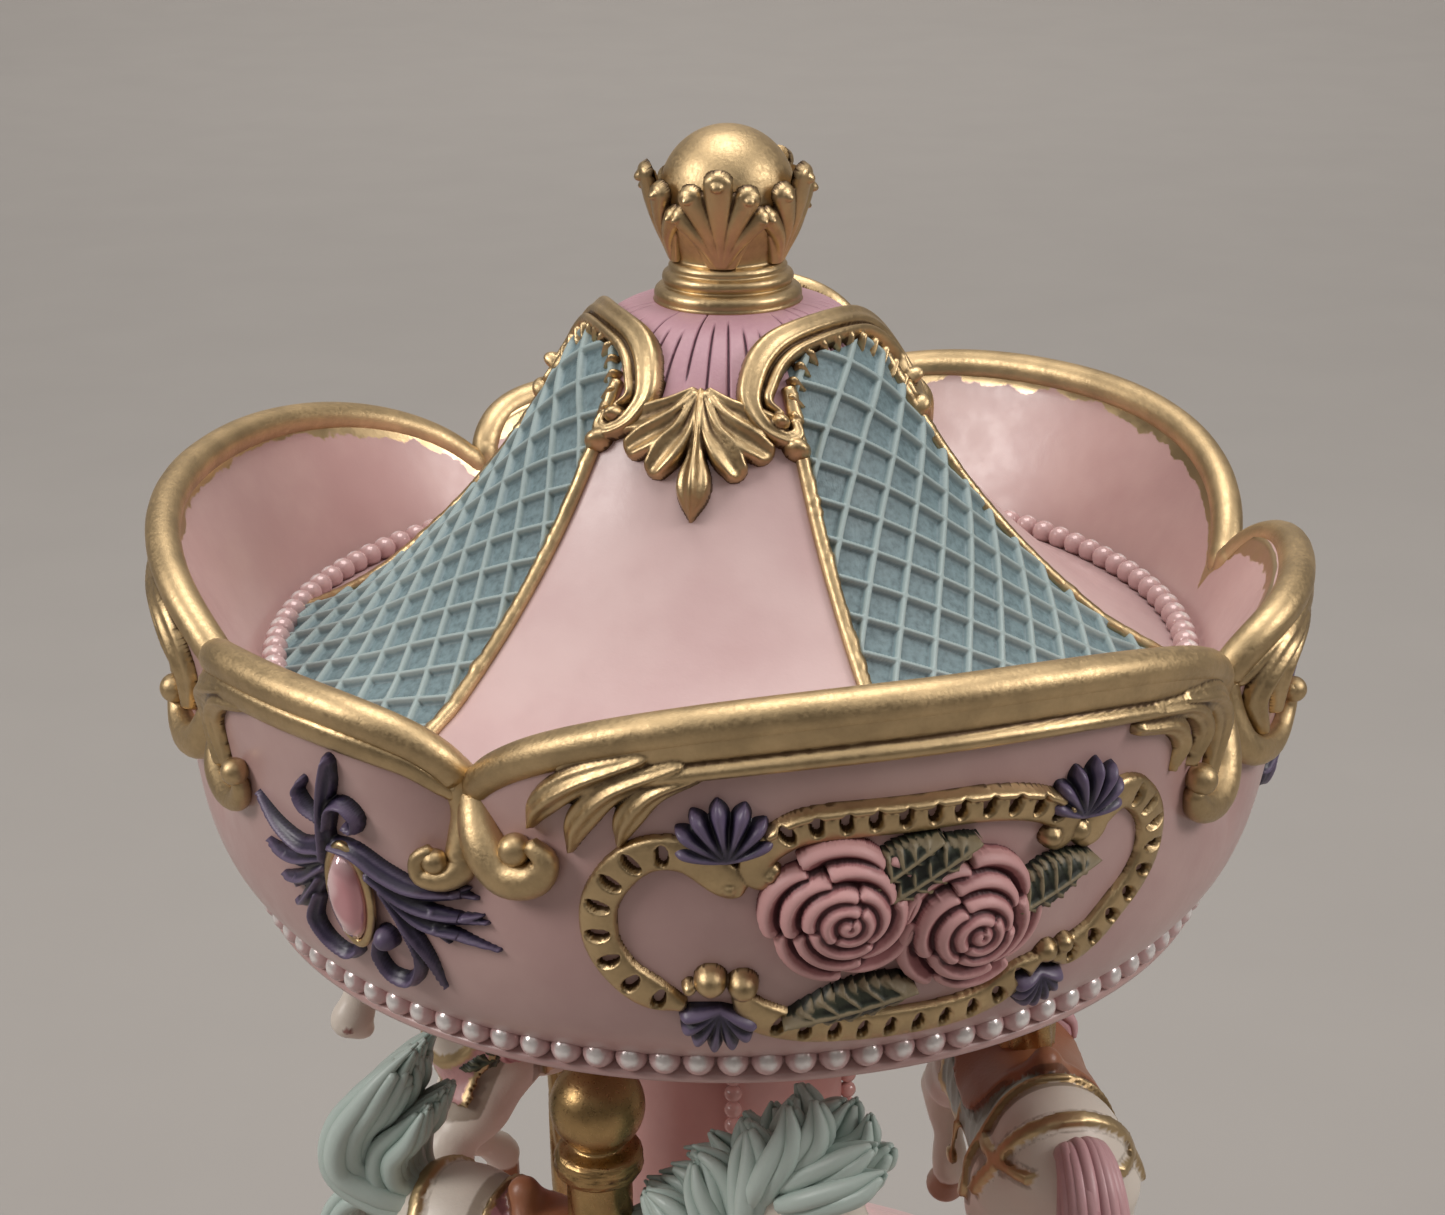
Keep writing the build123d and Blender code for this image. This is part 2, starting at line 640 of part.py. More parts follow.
with BuildPart() as canopy_band:
    add(revolved(BAND_WALL + BAND_INSIDE))
    add(band_limits.part, mode=Mode.INTERSECT)
    add(lower_pearl_shape, mode=Mode.SUBTRACT)
save(canopy_band, "canopy_band")

rim_layer = revolved([(83.6, NOTCH_Z), (84.2, RING_Z + 55), (77.8, RING_Z + 55), (75.6, RING_Z + 48),
                      (72.2, NOTCH_Z)])
with BuildPart() as rim_limits:
    for lobe_azimuth, half_width, rise in LOBES:
        add(thrice(lobe_prism(lobe_azimuth, half_width, rise)))

with BuildPart() as canopy_rim:
    add(rim_layer)
    add(rim_limits.part, mode=Mode.INTERSECT)
    add(band_limits.part, mode=Mode.SUBTRACT)
save(canopy_rim, "canopy_rim")

with BuildPart() as lower_pearls:
    add(lower_pearl_shape)
save(lower_pearls, "lower_pearls")

with BuildPart() as upper_pearls:
    add(hoop(66.1, SHELF_Z + 1.7, 1.7))
save(upper_pearls, "upper_pearls")

ornament_wall = BAND_WALL[2:9]
CARTOUCHE_Z = RING_Z + 23

with BuildPart() as band_cartouches:
    add(thrice(on_wall(skin(ornament_wall, 0, 1.5), oval_frame.sketch, CARTOUCHE_AZIMUTH, CARTOUCHE_Z)))
save(band_cartouches, "band_cartouches")

with BuildPart() as band_roses:
    add(thrice(on_wall(skin(ornament_wall, 0, 4), rose_pair.sketch, CARTOUCHE_AZIMUTH, CARTOUCHE_Z)))
save(band_roses, "band_roses")

with BuildPart() as band_leaves:
    add(thrice(on_wall(skin(ornament_wall, 0, 1.8), leaf_group.sketch, CARTOUCHE_AZIMUTH, CARTOUCHE_Z)))
    for neighbour in (band_roses, band_cartouches):
        add(neighbour.part, mode=Mode.SUBTRACT)
save(band_leaves, "band_leaves")

FLOURISH_Z = RING_Z + 21
with BuildPart() as band_gems:
    add(thrice(on_wall(skin(ornament_wall, 0, 3), gem_oval.sketch, FLOURISH_AZIMUTH, FLOURISH_Z)))
save(band_gems, "band_gems")

with BuildPart() as band_flourishes:
    add(thrice(on_wall(skin(ornament_wall, 0, 1.6), flourish.sketch, FLOURISH_AZIMUTH, FLOURISH_Z)))
    add(band_gems.part, mode=Mode.SUBTRACT)
save(band_flourishes, "band_flourishes")

VOLUTE_AZIMUTHS = (LARGE_LOBE - 34.5, LARGE_LOBE + 30, LARGE_LOBE - 45, LARGE_LOBE - 74)
with BuildPart() as rim_scrolls:
    for scroll_azimuth in VOLUTE_AZIMUTHS:
        add(thrice(on_wall(skin(ornament_wall, 0, 2.2), volute.sketch, scroll_azimuth, NOTCH_Z - 4.8)))
    for neighbour in (band_cartouches, band_flourishes, canopy_rim):
        add(neighbour.part, mode=Mode.SUBTRACT)
save(rim_scrolls, "rim_scrolls")


# ---- Roof ----
with BuildPart() as roof:
    add(revolved(ROOF_WALL + ROOF_INSIDE))
save(roof, "roof")

with BuildPart() as collar:
    add(revolved([(r, RING_Z + z) for r, z in [(22.5, 69), (23.8, 69.4), (20.8, 73.4), (17.8, 76.8), (14, 78.8),
                                               (8.8, 79.8), (TIE_ROD_R, 79.8), (TIE_ROD_R, 77), (8, 77),
                                               (16, 75.5), (19, 73)]]))
save(collar, "roof_collar")

tent_wall = ROOF_WALL[1:8]

with BuildPart() as acanthus_leaves:
    add(thrice(on_wall(skin(tent_wall, 0, 3), acanthus.sketch, PINK_PANEL, RING_Z + 59)))
    add(collar.part, mode=Mode.SUBTRACT)
save(acanthus_leaves, "acanthus_leaves")

with BuildPart() as roof_arches:
    add(thrice(on_wall(skin(ROOF_WALL[4:10], 0, 3.4), arch.sketch, BLUE_PANEL, RING_Z + 60.5)))
    add(collar.part, mode=Mode.SUBTRACT)
    add(acanthus_leaves.part, mode=Mode.SUBTRACT)
save(roof_arches, "roof_arches")

with BuildSketch() as rib_outline:
    with Locations((0, 45)):
        Rectangle(1.3, 40)
with BuildPart() as roof_ribs:
    for side in (-1, 1):
        add(thrice(on_wall(skin(tent_wall, 0, 1.6), rib_outline.sketch, BLUE_PANEL + side * BLUE_HALF_WIDTH, RING_Z)))
    for neighbour in (roof_arches, acanthus_leaves, collar, upper_pearls):
        add(neighbour.part, mode=Mode.SUBTRACT)
save(roof_ribs, "roof_ribs")

with BuildPart() as lattice_panels:
    for turn in TURNS:
        edges = [radians(BLUE_PANEL + turn + side * BLUE_HALF_WIDTH) for side in (-1, 1)]
        with BuildSketch(Plane.XY.offset(RING_Z + 28)):
            with BuildLine():
                Polyline((0, 0), *[(REACH * sin(a), -REACH * cos(a)) for a in edges], close=True)
            make_face()
        extrude(amount=45)
    add(skin(tent_wall, 0, 0.9), mode=Mode.INTERSECT)
    for neighbour in (roof_ribs, roof_arches, acanthus_leaves, collar, upper_pearls):
        add(neighbour.part, mode=Mode.SUBTRACT)
save(lattice_panels, "lattice_panels")

BALL_R = 9.4
BALL_Z = RING_Z + 94.3
with BuildPart() as finial_cup:
    add(revolved([(r, RING_Z + z) for r, z in [(TIE_ROD_R, 79.8), (9.6, 79.8), (10.2, 81), (9.4, 82.2), (8.4, 82.8),
                                               (8.6, 83.6), (7, 84.6), (5.8, 85.2), (7.6, 87.5), (9.4, 90.5),
                                               (10.3, 94), (10.8, 97), (TIE_ROD_R, 97)]]))
    with Locations((0, 0, BALL_Z)):
        Sphere(BALL_R, mode=Mode.SUBTRACT)
save(finial_cup, "finial_cup")

with BuildPart() as finial_ball:
    with Locations((0, 0, BALL_Z)):
        Sphere(BALL_R)
    add(tie_rod.part, mode=Mode.SUBTRACT)
save(finial_ball, "finial_ball")


# ---- Horses and poles ----
POLE_Z = PLATFORM_TOP + 2.5     # lower end of a pole at its lowest place on the track
POLE_COLLAR_Z = RING_Z - 33.5
POLE_BALL_Z = RING_Z - 23.2
POLE_BALL_R = 6.64
FOLLOWER_Z = CAM_PEAK_Z + 0.5   # underside of the follower, just above the highest point of the track

# limbs as (forward, sideways, height above the pearls) points with a radius at each
LIMBS = [
    [((-20, 0, -53), 11), ((0, 0, -56), 10.5), ((15, 0, -55), 11.5)],
    [((17, 0, -50), 9), ((27, 0, -35), 6.5), ((32, 0, -27), 5.6)],
    [((32, 0, -27), 5.4), ((38, 0, -36), 4.6), ((43, 0, -45), 3.6)],
    [((28, 0, -22), 4), ((14, 0, -38), 4)],
    [((-29, 0, -47), 4.5), ((-38, 0, -36), 5.5), ((-42, 0, -56), 5)],
    [((17, 5, -60), 6), ((30, 6, -72), 3.8), ((24, 6, -85), 2.8), ((28, 6, -90), 3.4)],
    [((15, -5, -62), 6), ((22, -6, -78), 3.6), ((12, -6, -87), 2.8), ((12, -6, -91), 3.4)],
    [((-19, 5, -58), 7.5), ((-13, 6, -71), 4.6), ((-27, 6, -82), 3), ((-34, 6, -90), 3.4)],
    [((-21, -5, -58), 7.5), ((-20, -6, -72), 4.6), ((-34, -6, -79), 3), ((-41, -6, -87), 3.4)],
]

with BuildPart() as horse_form:
    for limb in LIMBS:
        for (start, start_r), (end, end_r) in zip(limb, limb[1:]):
            start_point = Vector(*start) + Vector(0, 0, RING_Z)
            end_point = Vector(*end) + Vector(0, 0, RING_Z)
            with BuildSketch(Plane(origin=start_point, z_dir=end_point - start_point)):
                Circle(start_r)
            with BuildSketch(Plane(origin=end_point, z_dir=end_point - start_point)):
                Circle(end_r)
            loft()
        for place, place_r in limb:
            with Locations(Vector(*place) + Vector(0, 0, RING_Z)):
                Sphere(place_r * 1.03)
    with BuildSketch():
        Circle(POLE_R)
    extrude(amount=RING_Z, mode=Mode.SUBTRACT)

with BuildPart() as pole_form:
    add(revolved([(0, FOLLOWER_Z), (GUIDE_R, FOLLOWER_Z), (GUIDE_R, FOLLOWER_Z + 2.5), (ROD_R, FOLLOWER_Z + 2.5),
                  (ROD_R, POLE_Z), (POLE_R, POLE_Z), (POLE_R, POLE_COLLAR_Z), (6, POLE_COLLAR_Z),
                  (6, POLE_COLLAR_Z + 3), (3.4, POLE_COLLAR_Z + 4), (3.4, POLE_BALL_Z), (0, POLE_BALL_Z)]))
    with Locations((0, 0, POLE_BALL_Z)):
        Sphere(POLE_BALL_R)
    with BuildSketch(Plane.XY.offset(POLE_BALL_Z)):
        Circle(ROD_R)
    extrude(amount=RING_Z + 5 - POLE_BALL_Z)

for number, horse_plane in enumerate(horse_planes, start=1):
    with BuildPart() as horse:
        with Locations(Location(horse_plane)):
            add(horse_form.part)
    save(horse, f"horse_{number}")

    with BuildPart() as pole:
        with Locations(Location(horse_plane)):
            add(pole_form.part)
    save(pole, f"pole_{number}")

print("finial top", BALL_Z + BALL_R)
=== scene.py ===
"""Looks of the carousel music box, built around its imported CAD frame.

Lengths are millimetres until a mesh is written, which turns them into metres. Azimuths are degrees from
the front (-Y) towards +X. Heights on the canopy count from the middle of its lower string of pearls.
"""
import math

import bpy
import numpy as np
from mathutils import Matrix, Vector


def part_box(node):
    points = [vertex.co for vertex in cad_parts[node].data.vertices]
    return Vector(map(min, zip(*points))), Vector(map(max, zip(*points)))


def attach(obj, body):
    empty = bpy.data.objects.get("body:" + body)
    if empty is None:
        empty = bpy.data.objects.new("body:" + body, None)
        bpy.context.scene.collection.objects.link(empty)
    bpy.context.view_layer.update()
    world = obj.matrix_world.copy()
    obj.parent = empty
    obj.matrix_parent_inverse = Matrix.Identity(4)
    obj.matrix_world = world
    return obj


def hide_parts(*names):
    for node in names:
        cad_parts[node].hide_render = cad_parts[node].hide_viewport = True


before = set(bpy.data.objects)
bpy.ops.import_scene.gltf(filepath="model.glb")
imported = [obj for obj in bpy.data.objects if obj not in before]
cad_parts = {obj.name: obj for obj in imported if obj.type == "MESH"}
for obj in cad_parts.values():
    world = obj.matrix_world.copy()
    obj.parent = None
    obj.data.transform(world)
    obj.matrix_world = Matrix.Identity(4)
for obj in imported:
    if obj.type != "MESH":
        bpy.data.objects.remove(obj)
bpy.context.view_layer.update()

MM = 0.001
TURNS = (0, 120, 240)


def span(node):
    """Lowest and highest corner of a CAD node, in millimetres."""
    low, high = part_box(node)
    return np.array(low) / MM, np.array(high) / MM


RING_Z = float(sum(span("lower_pearls")[i][2] for i in (0, 1)) / 2)
PEARL_RING_R = 70.0
LARGE_LOBE, LARGE_HALF, LARGE_TOP = 16.8, 41.5, 51.9    # azimuth, half width in degrees, height of the rim
SMALL_LOBE, SMALL_HALF, SMALL_TOP = -43.2, 18.5, 45.6
NOTCH_TOP = 34.7
CARTOUCHE_AZIMUTH, CARTOUCHE_Z = 14.6, 23.0
FLOURISH_AZIMUTH, FLOURISH_Z = -37.5, 21.0
BASE_ORNAMENT_Z = 36.0
MM_PER_DEGREE = 1.379                                   # along the outer wall of the canopy
BASE_MM_PER_DEGREE = 1.335                              # along the wall of the base
POLE_CIRCLE_R = 48.0                                    # distance of the poles from the column's axis
PINK_PANEL, BLUE_PANEL, BLUE_HALF = -10.5, 49.5, 28.8   # azimuths of the roof's panels, half width


# ---- Points, faces and shapes ----
# A shape is (points, list of face arrays, dictionary of values at the points).

def radial(azimuth, radius, height):
    """Points from an azimuth in degrees, a radius and a height."""
    angle, radius, height = np.broadcast_arrays(np.radians(azimuth), radius, height)
    return np.stack([radius * np.sin(angle), -radius * np.cos(angle), height], -1)


def grid_faces(rows, columns, wrap=False):
    """Quads of a grid of points, row by row; wrap joins the last column to the first."""
    row = np.arange(rows - 1)[:, None] * columns
    left = np.arange(columns if wrap else columns - 1)[None]
    right = (left + 1) % columns
    return np.stack([row + left, row + right, row + columns + right, row + columns + left], -1).reshape(-1, 4)


def joined(shapes):
    """One shape from several that hold the same kinds of values."""
    shapes = list(shapes)
    faces, start = [], 0
    for points, own, _ in shapes:
        faces += [f + start for f in own]
        start += len(points)
    fields = {k: np.concatenate([s[2][k] for s in shapes]) for k in shapes[0][2]}
    return np.concatenate([s[0] for s in shapes]), faces, fields


def turned(shape, degrees):
    """A shape turned about the Z axis."""
    a = math.radians(degrees)
    turn = np.array([[math.cos(a), math.sin(a), 0], [-math.sin(a), math.cos(a), 0], [0, 0, 1]])
    return shape[0] @ turn, shape[1], shape[2]


def thrice(shape):
    """Three copies around the axis."""
    return joined(turned(shape, turn) for turn in TURNS)


def write_piece(name, shape, material, body, replaces=(), flat=False):
    """Make a Blender object from a shape, on a CAD body."""
    points, faces, fields = shape
    mesh = bpy.data.meshes.new(name)
    mesh.vertices.add(len(points))
    mesh.vertices.foreach_set("co", (points * MM).astype(np.float32).ravel())
    corners = np.concatenate([f.ravel() for f in faces])
    sizes = np.concatenate([np.full(len(f), f.shape[1]) for f in faces])
    mesh.loops.add(len(corners))
    mesh.loops.foreach_set("vertex_index", corners.astype(np.int32))
    mesh.polygons.add(len(sizes))
    mesh.polygons.foreach_set("loop_start", np.concatenate([[0], np.cumsum(sizes)[:-1]]).astype(np.int32))
    mesh.update(calc_edges=True)
    mesh.validate()
    for key, values in fields.items():
        if values.ndim == 1:
            mesh.attributes.new(key, "FLOAT", "POINT").data.foreach_set("value", values.astype(np.float32))
        else:
            colour = np.concatenate([values, np.ones((len(values), 1))], 1).astype(np.float32)
            mesh.attributes.new(key, "FLOAT_COLOR", "POINT").data.foreach_set("color", colour.ravel())
    if not flat:
        mesh.shade_smooth()
    piece = bpy.data.objects.new(name, mesh)
    bpy.context.scene.collection.objects.link(piece)
    mesh.materials.append(material)
    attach(piece, body)
    if replaces:
        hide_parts(*replaces)
    return piece


def smooth_line(points, step, closed=False):
    """A Catmull-Rom curve through the points, cut at about equal steps, in every column."""
    p = np.asarray(points, float)
    if closed:
        p = np.concatenate([p[-1:], p, p[:2]])
    else:
        p = np.concatenate([2 * p[:1] - p[1:2], p, 2 * p[-1:] - p[-2:-1]])
    pieces = []
    for a, b, c, d in zip(p, p[1:], p[2:], p[3:]):
        count = max(2, int(np.linalg.norm(c - b) / step) + 1)
        t = np.linspace(0, 1, count, endpoint=False)[:, None]
        pieces.append(0.5 * (2 * b + (c - a) * t + (2 * a - 5 * b + 4 * c - d) * t**2
                             + (3 * b - a - 3 * c + d) * t**3))
    if not closed:
        pieces.append(p[-2:-1])
    return np.concatenate(pieces)


def unit(vectors):
    return vectors / np.maximum(np.linalg.norm(vectors, axis=-1, keepdims=True), 1e-9)


def tube(line, sides, guide=None, closed=False):
    """A tube along rows of (x, y, z, radius); guide gives one direction across it per row."""
    centre, radius = line[:, :3], line[:, 3:4]
    if closed:
        along = unit(np.roll(centre, -1, 0) - np.roll(centre, 1, 0))
    else:
        along = unit(np.gradient(centre, axis=0))
    if guide is None:
        guide = np.empty_like(along)
        start = np.array([0.0, 0, 1]) if abs(along[0, 2]) < 0.9 else np.array([1.0, 0, 0])
        for i, direction in enumerate(along):
            start = unit(start - direction * (start @ direction))
            guide[i] = start
    side = unit(np.cross(along, guide))
    up = np.cross(side, along)
    angle = np.linspace(0, 2 * np.pi, sides, endpoint=False)[None, :, None]
    points = centre[:, None] + radius[:, None] * (side[:, None] * np.cos(angle) + up[:, None] * np.sin(angle))
    rows = len(line)
    points = points.reshape(-1, 3)
    ring = np.arange(sides)
    ring_next = (ring + 1) % sides
    end_ring, end_next = (rows - 1) * sides + ring, (rows - 1) * sides + ring_next
    if closed:
        seam = np.stack([end_ring, end_next, ring_next, ring], -1)
        return points, [np.concatenate([grid_faces(rows, sides, True), seam])[:, ::-1]], {}
    first, last = np.full(sides, rows * sides), np.full(sides, rows * sides + 1)
    caps = np.concatenate([np.stack([ring, ring_next, first], -1), np.stack([end_next, end_ring, last], -1)])
    ends = np.stack([centre[0] - along[0] * radius[0] * 0.5, centre[-1] + along[-1] * radius[-1] * 0.5])
    return np.concatenate([points, ends]), [grid_faces(rows, sides, True)[:, ::-1], caps], {}


def cube_sphere(cuts):
    """Points and quads of a unit ball made from a cube's faces."""
    steps = np.tan(np.linspace(-np.pi / 4, np.pi / 4, cuts + 1))
    a, b = np.meshgrid(steps, steps)
    one = np.ones_like(a)
    sides = [(one, a, b), (-one, b, a), (b, one, a), (a, -one, b), (a, b, one), (b, a, -one)]
    points = unit(np.concatenate([np.stack(s, -1).reshape(-1, 3) for s in sides]))
    quads = np.concatenate([grid_faces(cuts + 1, cuts + 1) + i * (cuts + 1) ** 2 for i in range(6)])
    points, index = np.unique(points.round(6), axis=0, return_inverse=True)
    return points, index.ravel()[quads]


def balls(centres, radii, cuts=6):
    """Many balls as one shape."""
    points, quads = cube_sphere(cuts)
    centres = np.atleast_2d(centres)
    radii = np.broadcast_to(np.asarray(radii, float), (len(centres),))
    all_points = centres[:, None] + points[None] * radii[:, None, None]
    all_quads = quads[None] + np.arange(len(centres))[:, None, None] * len(points)
    return all_points.reshape(-1, 3), [all_quads.reshape(-1, 4)], {}


def lathe(outline, columns):
    """An open surface of revolution from (radius, height) rows."""
    outline = np.asarray(outline, float)
    azimuth = np.linspace(0, 360, columns, endpoint=False)
    points = radial(azimuth[None], outline[:, :1], outline[:, 1:2])
    return points.reshape(-1, 3), [grid_faces(len(outline), columns, True)], {}


# ---- Walls that ornaments lie on ----

def smoothstep(low, high, value):
    """A smooth step from 0 at low to 1 at high."""
    t = np.clip((value - low) / (high - low), 0, 1)
    return t * t * (3 - 2 * t)


def lobe_place(azimuth):
    """Where an azimuth lies in its lobe, from -1 to 1 between notches, and whether it is a large lobe."""
    from_large = (azimuth - LARGE_LOBE + 60) % 120 - 60
    from_small = (azimuth - SMALL_LOBE + 60) % 120 - 60
    large = np.abs(from_large) <= LARGE_HALF
    return np.clip(np.where(large, from_large / LARGE_HALF, from_small / SMALL_HALF), -1, 1), large


def rim_height(azimuth):
    """Height of the scalloped rim's centre line."""
    place, large = lobe_place(azimuth)
    rise_large = (1 - np.abs(place) ** 2.3) ** (1 / 1.5)
    rise_small = (1 - np.abs(place) ** 3.2) ** (1 / 2.1)
    return NOTCH_TOP + np.where(large, (LARGE_TOP - NOTCH_TOP) * rise_large,
                                (SMALL_TOP - NOTCH_TOP) * rise_small)


def band_radius(azimuth, height):
    """Outer wall of the canopy band: it flares, and folds in at the notches."""
    place, _ = lobe_place(azimuth)
    up = np.maximum(height, 0)
    return 69 + 7.4 * (1 - np.exp(-up / 5)) + 0.115 * up - 5 * np.abs(place) ** 4 * smoothstep(12, 36, height)


BASE_OUTLINE = np.array([(87, 2), (87, 8), (85.4, 10.8), (82.6, 13.8), (80.6, 17), (78.2, 22.6), (77, 28),
                         (76.5, 34), (76.5, 40), (77, 46), (78.2, 52), (79.6, 57), (80, 62), (80, 70)], float)


def base_radius(azimuth, height):
    """Outer wall of the base, a shallow waist between the plinth and the top moulding."""
    return np.interp(height, BASE_OUTLINE[:, 1], BASE_OUTLINE[:, 0]) + 0 * azimuth


def on_wall(radius_of, z_shift, azimuth, height, lift):
    """Points lifted off a wall, along its normal."""
    nudge = 0.2
    here = radial(azimuth, radius_of(azimuth, height), height)
    across = radial(azimuth + nudge, radius_of(azimuth + nudge, height), height) - here
    up = radial(azimuth, radius_of(azimuth, height + nudge), height + nudge) - here
    normal = unit(np.cross(across, up))
    points = here + normal * np.asarray(lift)[..., None]
    points[..., 2] += z_shift
    return points


def band_patch(azimuth, middle):
    """A function that puts flat (x, y, lift) points on the canopy band, around an azimuth and a height."""
    return lambda x, y, lift: on_wall(band_radius, RING_Z, azimuth + x / MM_PER_DEGREE, middle + y, lift)


def base_patch(azimuth, middle):
    """The same for the wall of the base."""
    return lambda x, y, lift: on_wall(base_radius, 0, azimuth + x / BASE_MM_PER_DEGREE, middle + y, lift)


ROOF_OUTLINE = smooth_line([(66, RING_Z + 28.8), (62, RING_Z + 30.6), (57, RING_Z + 33.2),
                            (52.5, RING_Z + 36), (43.2, RING_Z + 44), (34, RING_Z + 54), (26.2, RING_Z + 65),
                            (23.8, RING_Z + 69.2), (20.8, RING_Z + 73.6), (17.6, RING_Z + 76.8),
                            (14, RING_Z + 78.9), (9, RING_Z + 79.8)], 0.5)
ROOF_LENGTH = np.concatenate([[0], np.cumsum(np.linalg.norm(np.diff(ROOF_OUTLINE, axis=0), axis=1))])


def on_roof(azimuth, along, lift):
    """Points on the tent roof from an azimuth and a distance up its slope."""
    radius = np.interp(along, ROOF_LENGTH, ROOF_OUTLINE[:, 0])
    height = np.interp(along, ROOF_LENGTH, ROOF_OUTLINE[:, 1])
    before, after = along - 0.5, along + 0.5
    d_radius, d_height = (np.interp(after, ROOF_LENGTH, side) - np.interp(before, ROOF_LENGTH, side)
                          for side in ROOF_OUTLINE.T)
    size = np.hypot(d_radius, d_height) + 1e-9
    return radial(azimuth, radius + lift * d_height / size, height - lift * d_radius / size)


def roof_along(height):
    """Distance up the slope at a height above the pearls."""
    return float(np.interp(RING_Z + height, ROOF_OUTLINE[:, 1], ROOF_LENGTH))


def roof_patch(azimuth, middle):
    """Flat (x, y, lift) points on the roof, true to size across and up the slope."""
    def place(x, y, lift):
        reach = np.interp(middle + y, ROOF_LENGTH, ROOF_OUTLINE[:, 0])
        return on_roof(azimuth + np.degrees(x / reach), middle + y, lift)
    return place


# ---- Low reliefs ----

class Relief:
    """A height field for cast ornaments, in millimetres, built up from strokes and domes."""

    def __init__(self, width, height, step=0.22, centre=(0, 0)):
        self.step = step
        self.x = np.arange(centre[0] - width / 2, centre[0] + width / 2 + step, step)
        self.y = np.arange(centre[1] - height / 2, centre[1] + height / 2 + step, step)
        self.h = np.full((len(self.y), len(self.x)), -0.6)

    def window(self, x, y, reach):
        """The cells near a point, and their distances from it in x and y."""
        rows = slice(*np.searchsorted(self.y, [y - reach, y + reach]))
        columns = slice(*np.searchsorted(self.x, [x - reach, x + reach]))
        return rows, columns, self.x[columns][None] - x, self.y[rows][:, None] - y

    def raise_to(self, rows, columns, rise):
        self.h[rows, columns] = np.maximum(self.h[rows, columns], rise)

    def stroke(self, line, grooves=0, cut=0.0, edge=0.5):
        """A ridge along rows of (x, y, half width, height), with grooves along it."""
        line = smooth_line(line, self.step)
        along = unit(np.gradient(line[:, :2], axis=0))
        for (x, y, half, height), (tx, ty) in zip(line, along):
            half = max(half, 0.15)
            rows, columns, dx, dy = self.window(x, y, half * 1.3 + self.step)
            left = 1 - (dx * dx + dy * dy) / (half * half)
            rise = height * np.sign(left) * np.abs(left) ** edge
            if grooves:
                side = (dy * tx - dx * ty) / half
                rise = rise * (1 - cut * (0.5 - 0.5 * np.cos(np.pi * grooves * (side + 1))) * (left > 0))
            self.raise_to(rows, columns, rise)

    def dome(self, x, y, half, height):
        """A round boss."""
        rows, columns, dx, dy = self.window(x, y, half * 1.3 + self.step)
        left = 1 - (dx * dx + dy * dy) / (half * half)
        self.raise_to(rows, columns, height * np.sign(left) * np.abs(left) ** 0.5)

    def punch(self, x, y, long, wide, direction, depth):
        """An oval dimple; direction is a unit vector along its long side."""
        rows, columns, dx, dy = self.window(x, y, long)
        u = (dx * direction[0] + dy * direction[1]) / long
        v = (dy * direction[0] - dx * direction[1]) / wide
        self.h[rows, columns] -= depth * smoothstep(0, 0.5, 1 - u * u - v * v)

    def leaf(self, base, tip, half, height, veins=6):
        """A serrated leaf with a midrib and slanting veins."""
        bx, by = base
        length = math.dist(base, tip)
        tx, ty = (tip[0] - bx) / length, (tip[1] - by) / length
        rows, columns, dx, dy = self.window((bx + tip[0]) / 2, (by + tip[1]) / 2, length * 0.75)
        along = (dx + (tip[0] - bx) / 2) * tx + (dy + (tip[1] - by) / 2) * ty
        across = (dy + (tip[1] - by) / 2) * tx - (dx + (tip[0] - bx) / 2) * ty
        share = np.clip(along / length, 0, 1)
        tooth = (share * veins * 2) % 1
        width = half * np.sin(np.pi * share**0.8) ** 0.75 * (1 - 0.12 * tooth) + 0.05
        side = np.abs(across) / width
        left = 1 - np.maximum(side * side, np.maximum(-along, along - length) * 4)
        plate = height * (1 - 0.3 * side**2 - 0.2 * share) * np.abs(left) ** 0.25
        to_vein = np.abs((share * veins - 0.8 * side) % 1 - 0.5) * length / veins
        vein = 0.45 * np.exp(-(to_vein / 0.3) ** 2) * (side < 0.88)
        vein = np.maximum(vein, 0.6 * np.exp(-(across / 0.32) ** 2))
        self.raise_to(rows, columns, np.where(left > 0, plate + vein, -1))

    def shape(self, place, blur=0.9):
        """The raised cells, with how far each point stands above its surroundings as 'relief'."""
        top = np.maximum(self.h, 0)
        soft, size = top.copy(), max(1, int(blur / self.step))
        for axis in (0, 1):
            soft = sum(np.roll(soft, k, axis) for k in range(-size, size + 1)) / (2 * size + 1)
        x, y = np.meshgrid(self.x, self.y)
        up = self.h > 0
        cells = up[:-1, :-1] | up[1:, :-1] | up[:-1, 1:] | up[1:, 1:]
        quads = grid_faces(*self.h.shape)[cells.ravel()]
        used, quads = np.unique(quads, return_inverse=True)
        points = place(x.ravel()[used], y.ravel()[used], np.maximum(self.h, -0.6).ravel()[used])
        relief = ((top - soft) / 0.5).ravel()[used]
        return points, [quads.reshape(-1, 4)], {"relief": np.clip(relief, -1, 1)}


# ---- Materials ----

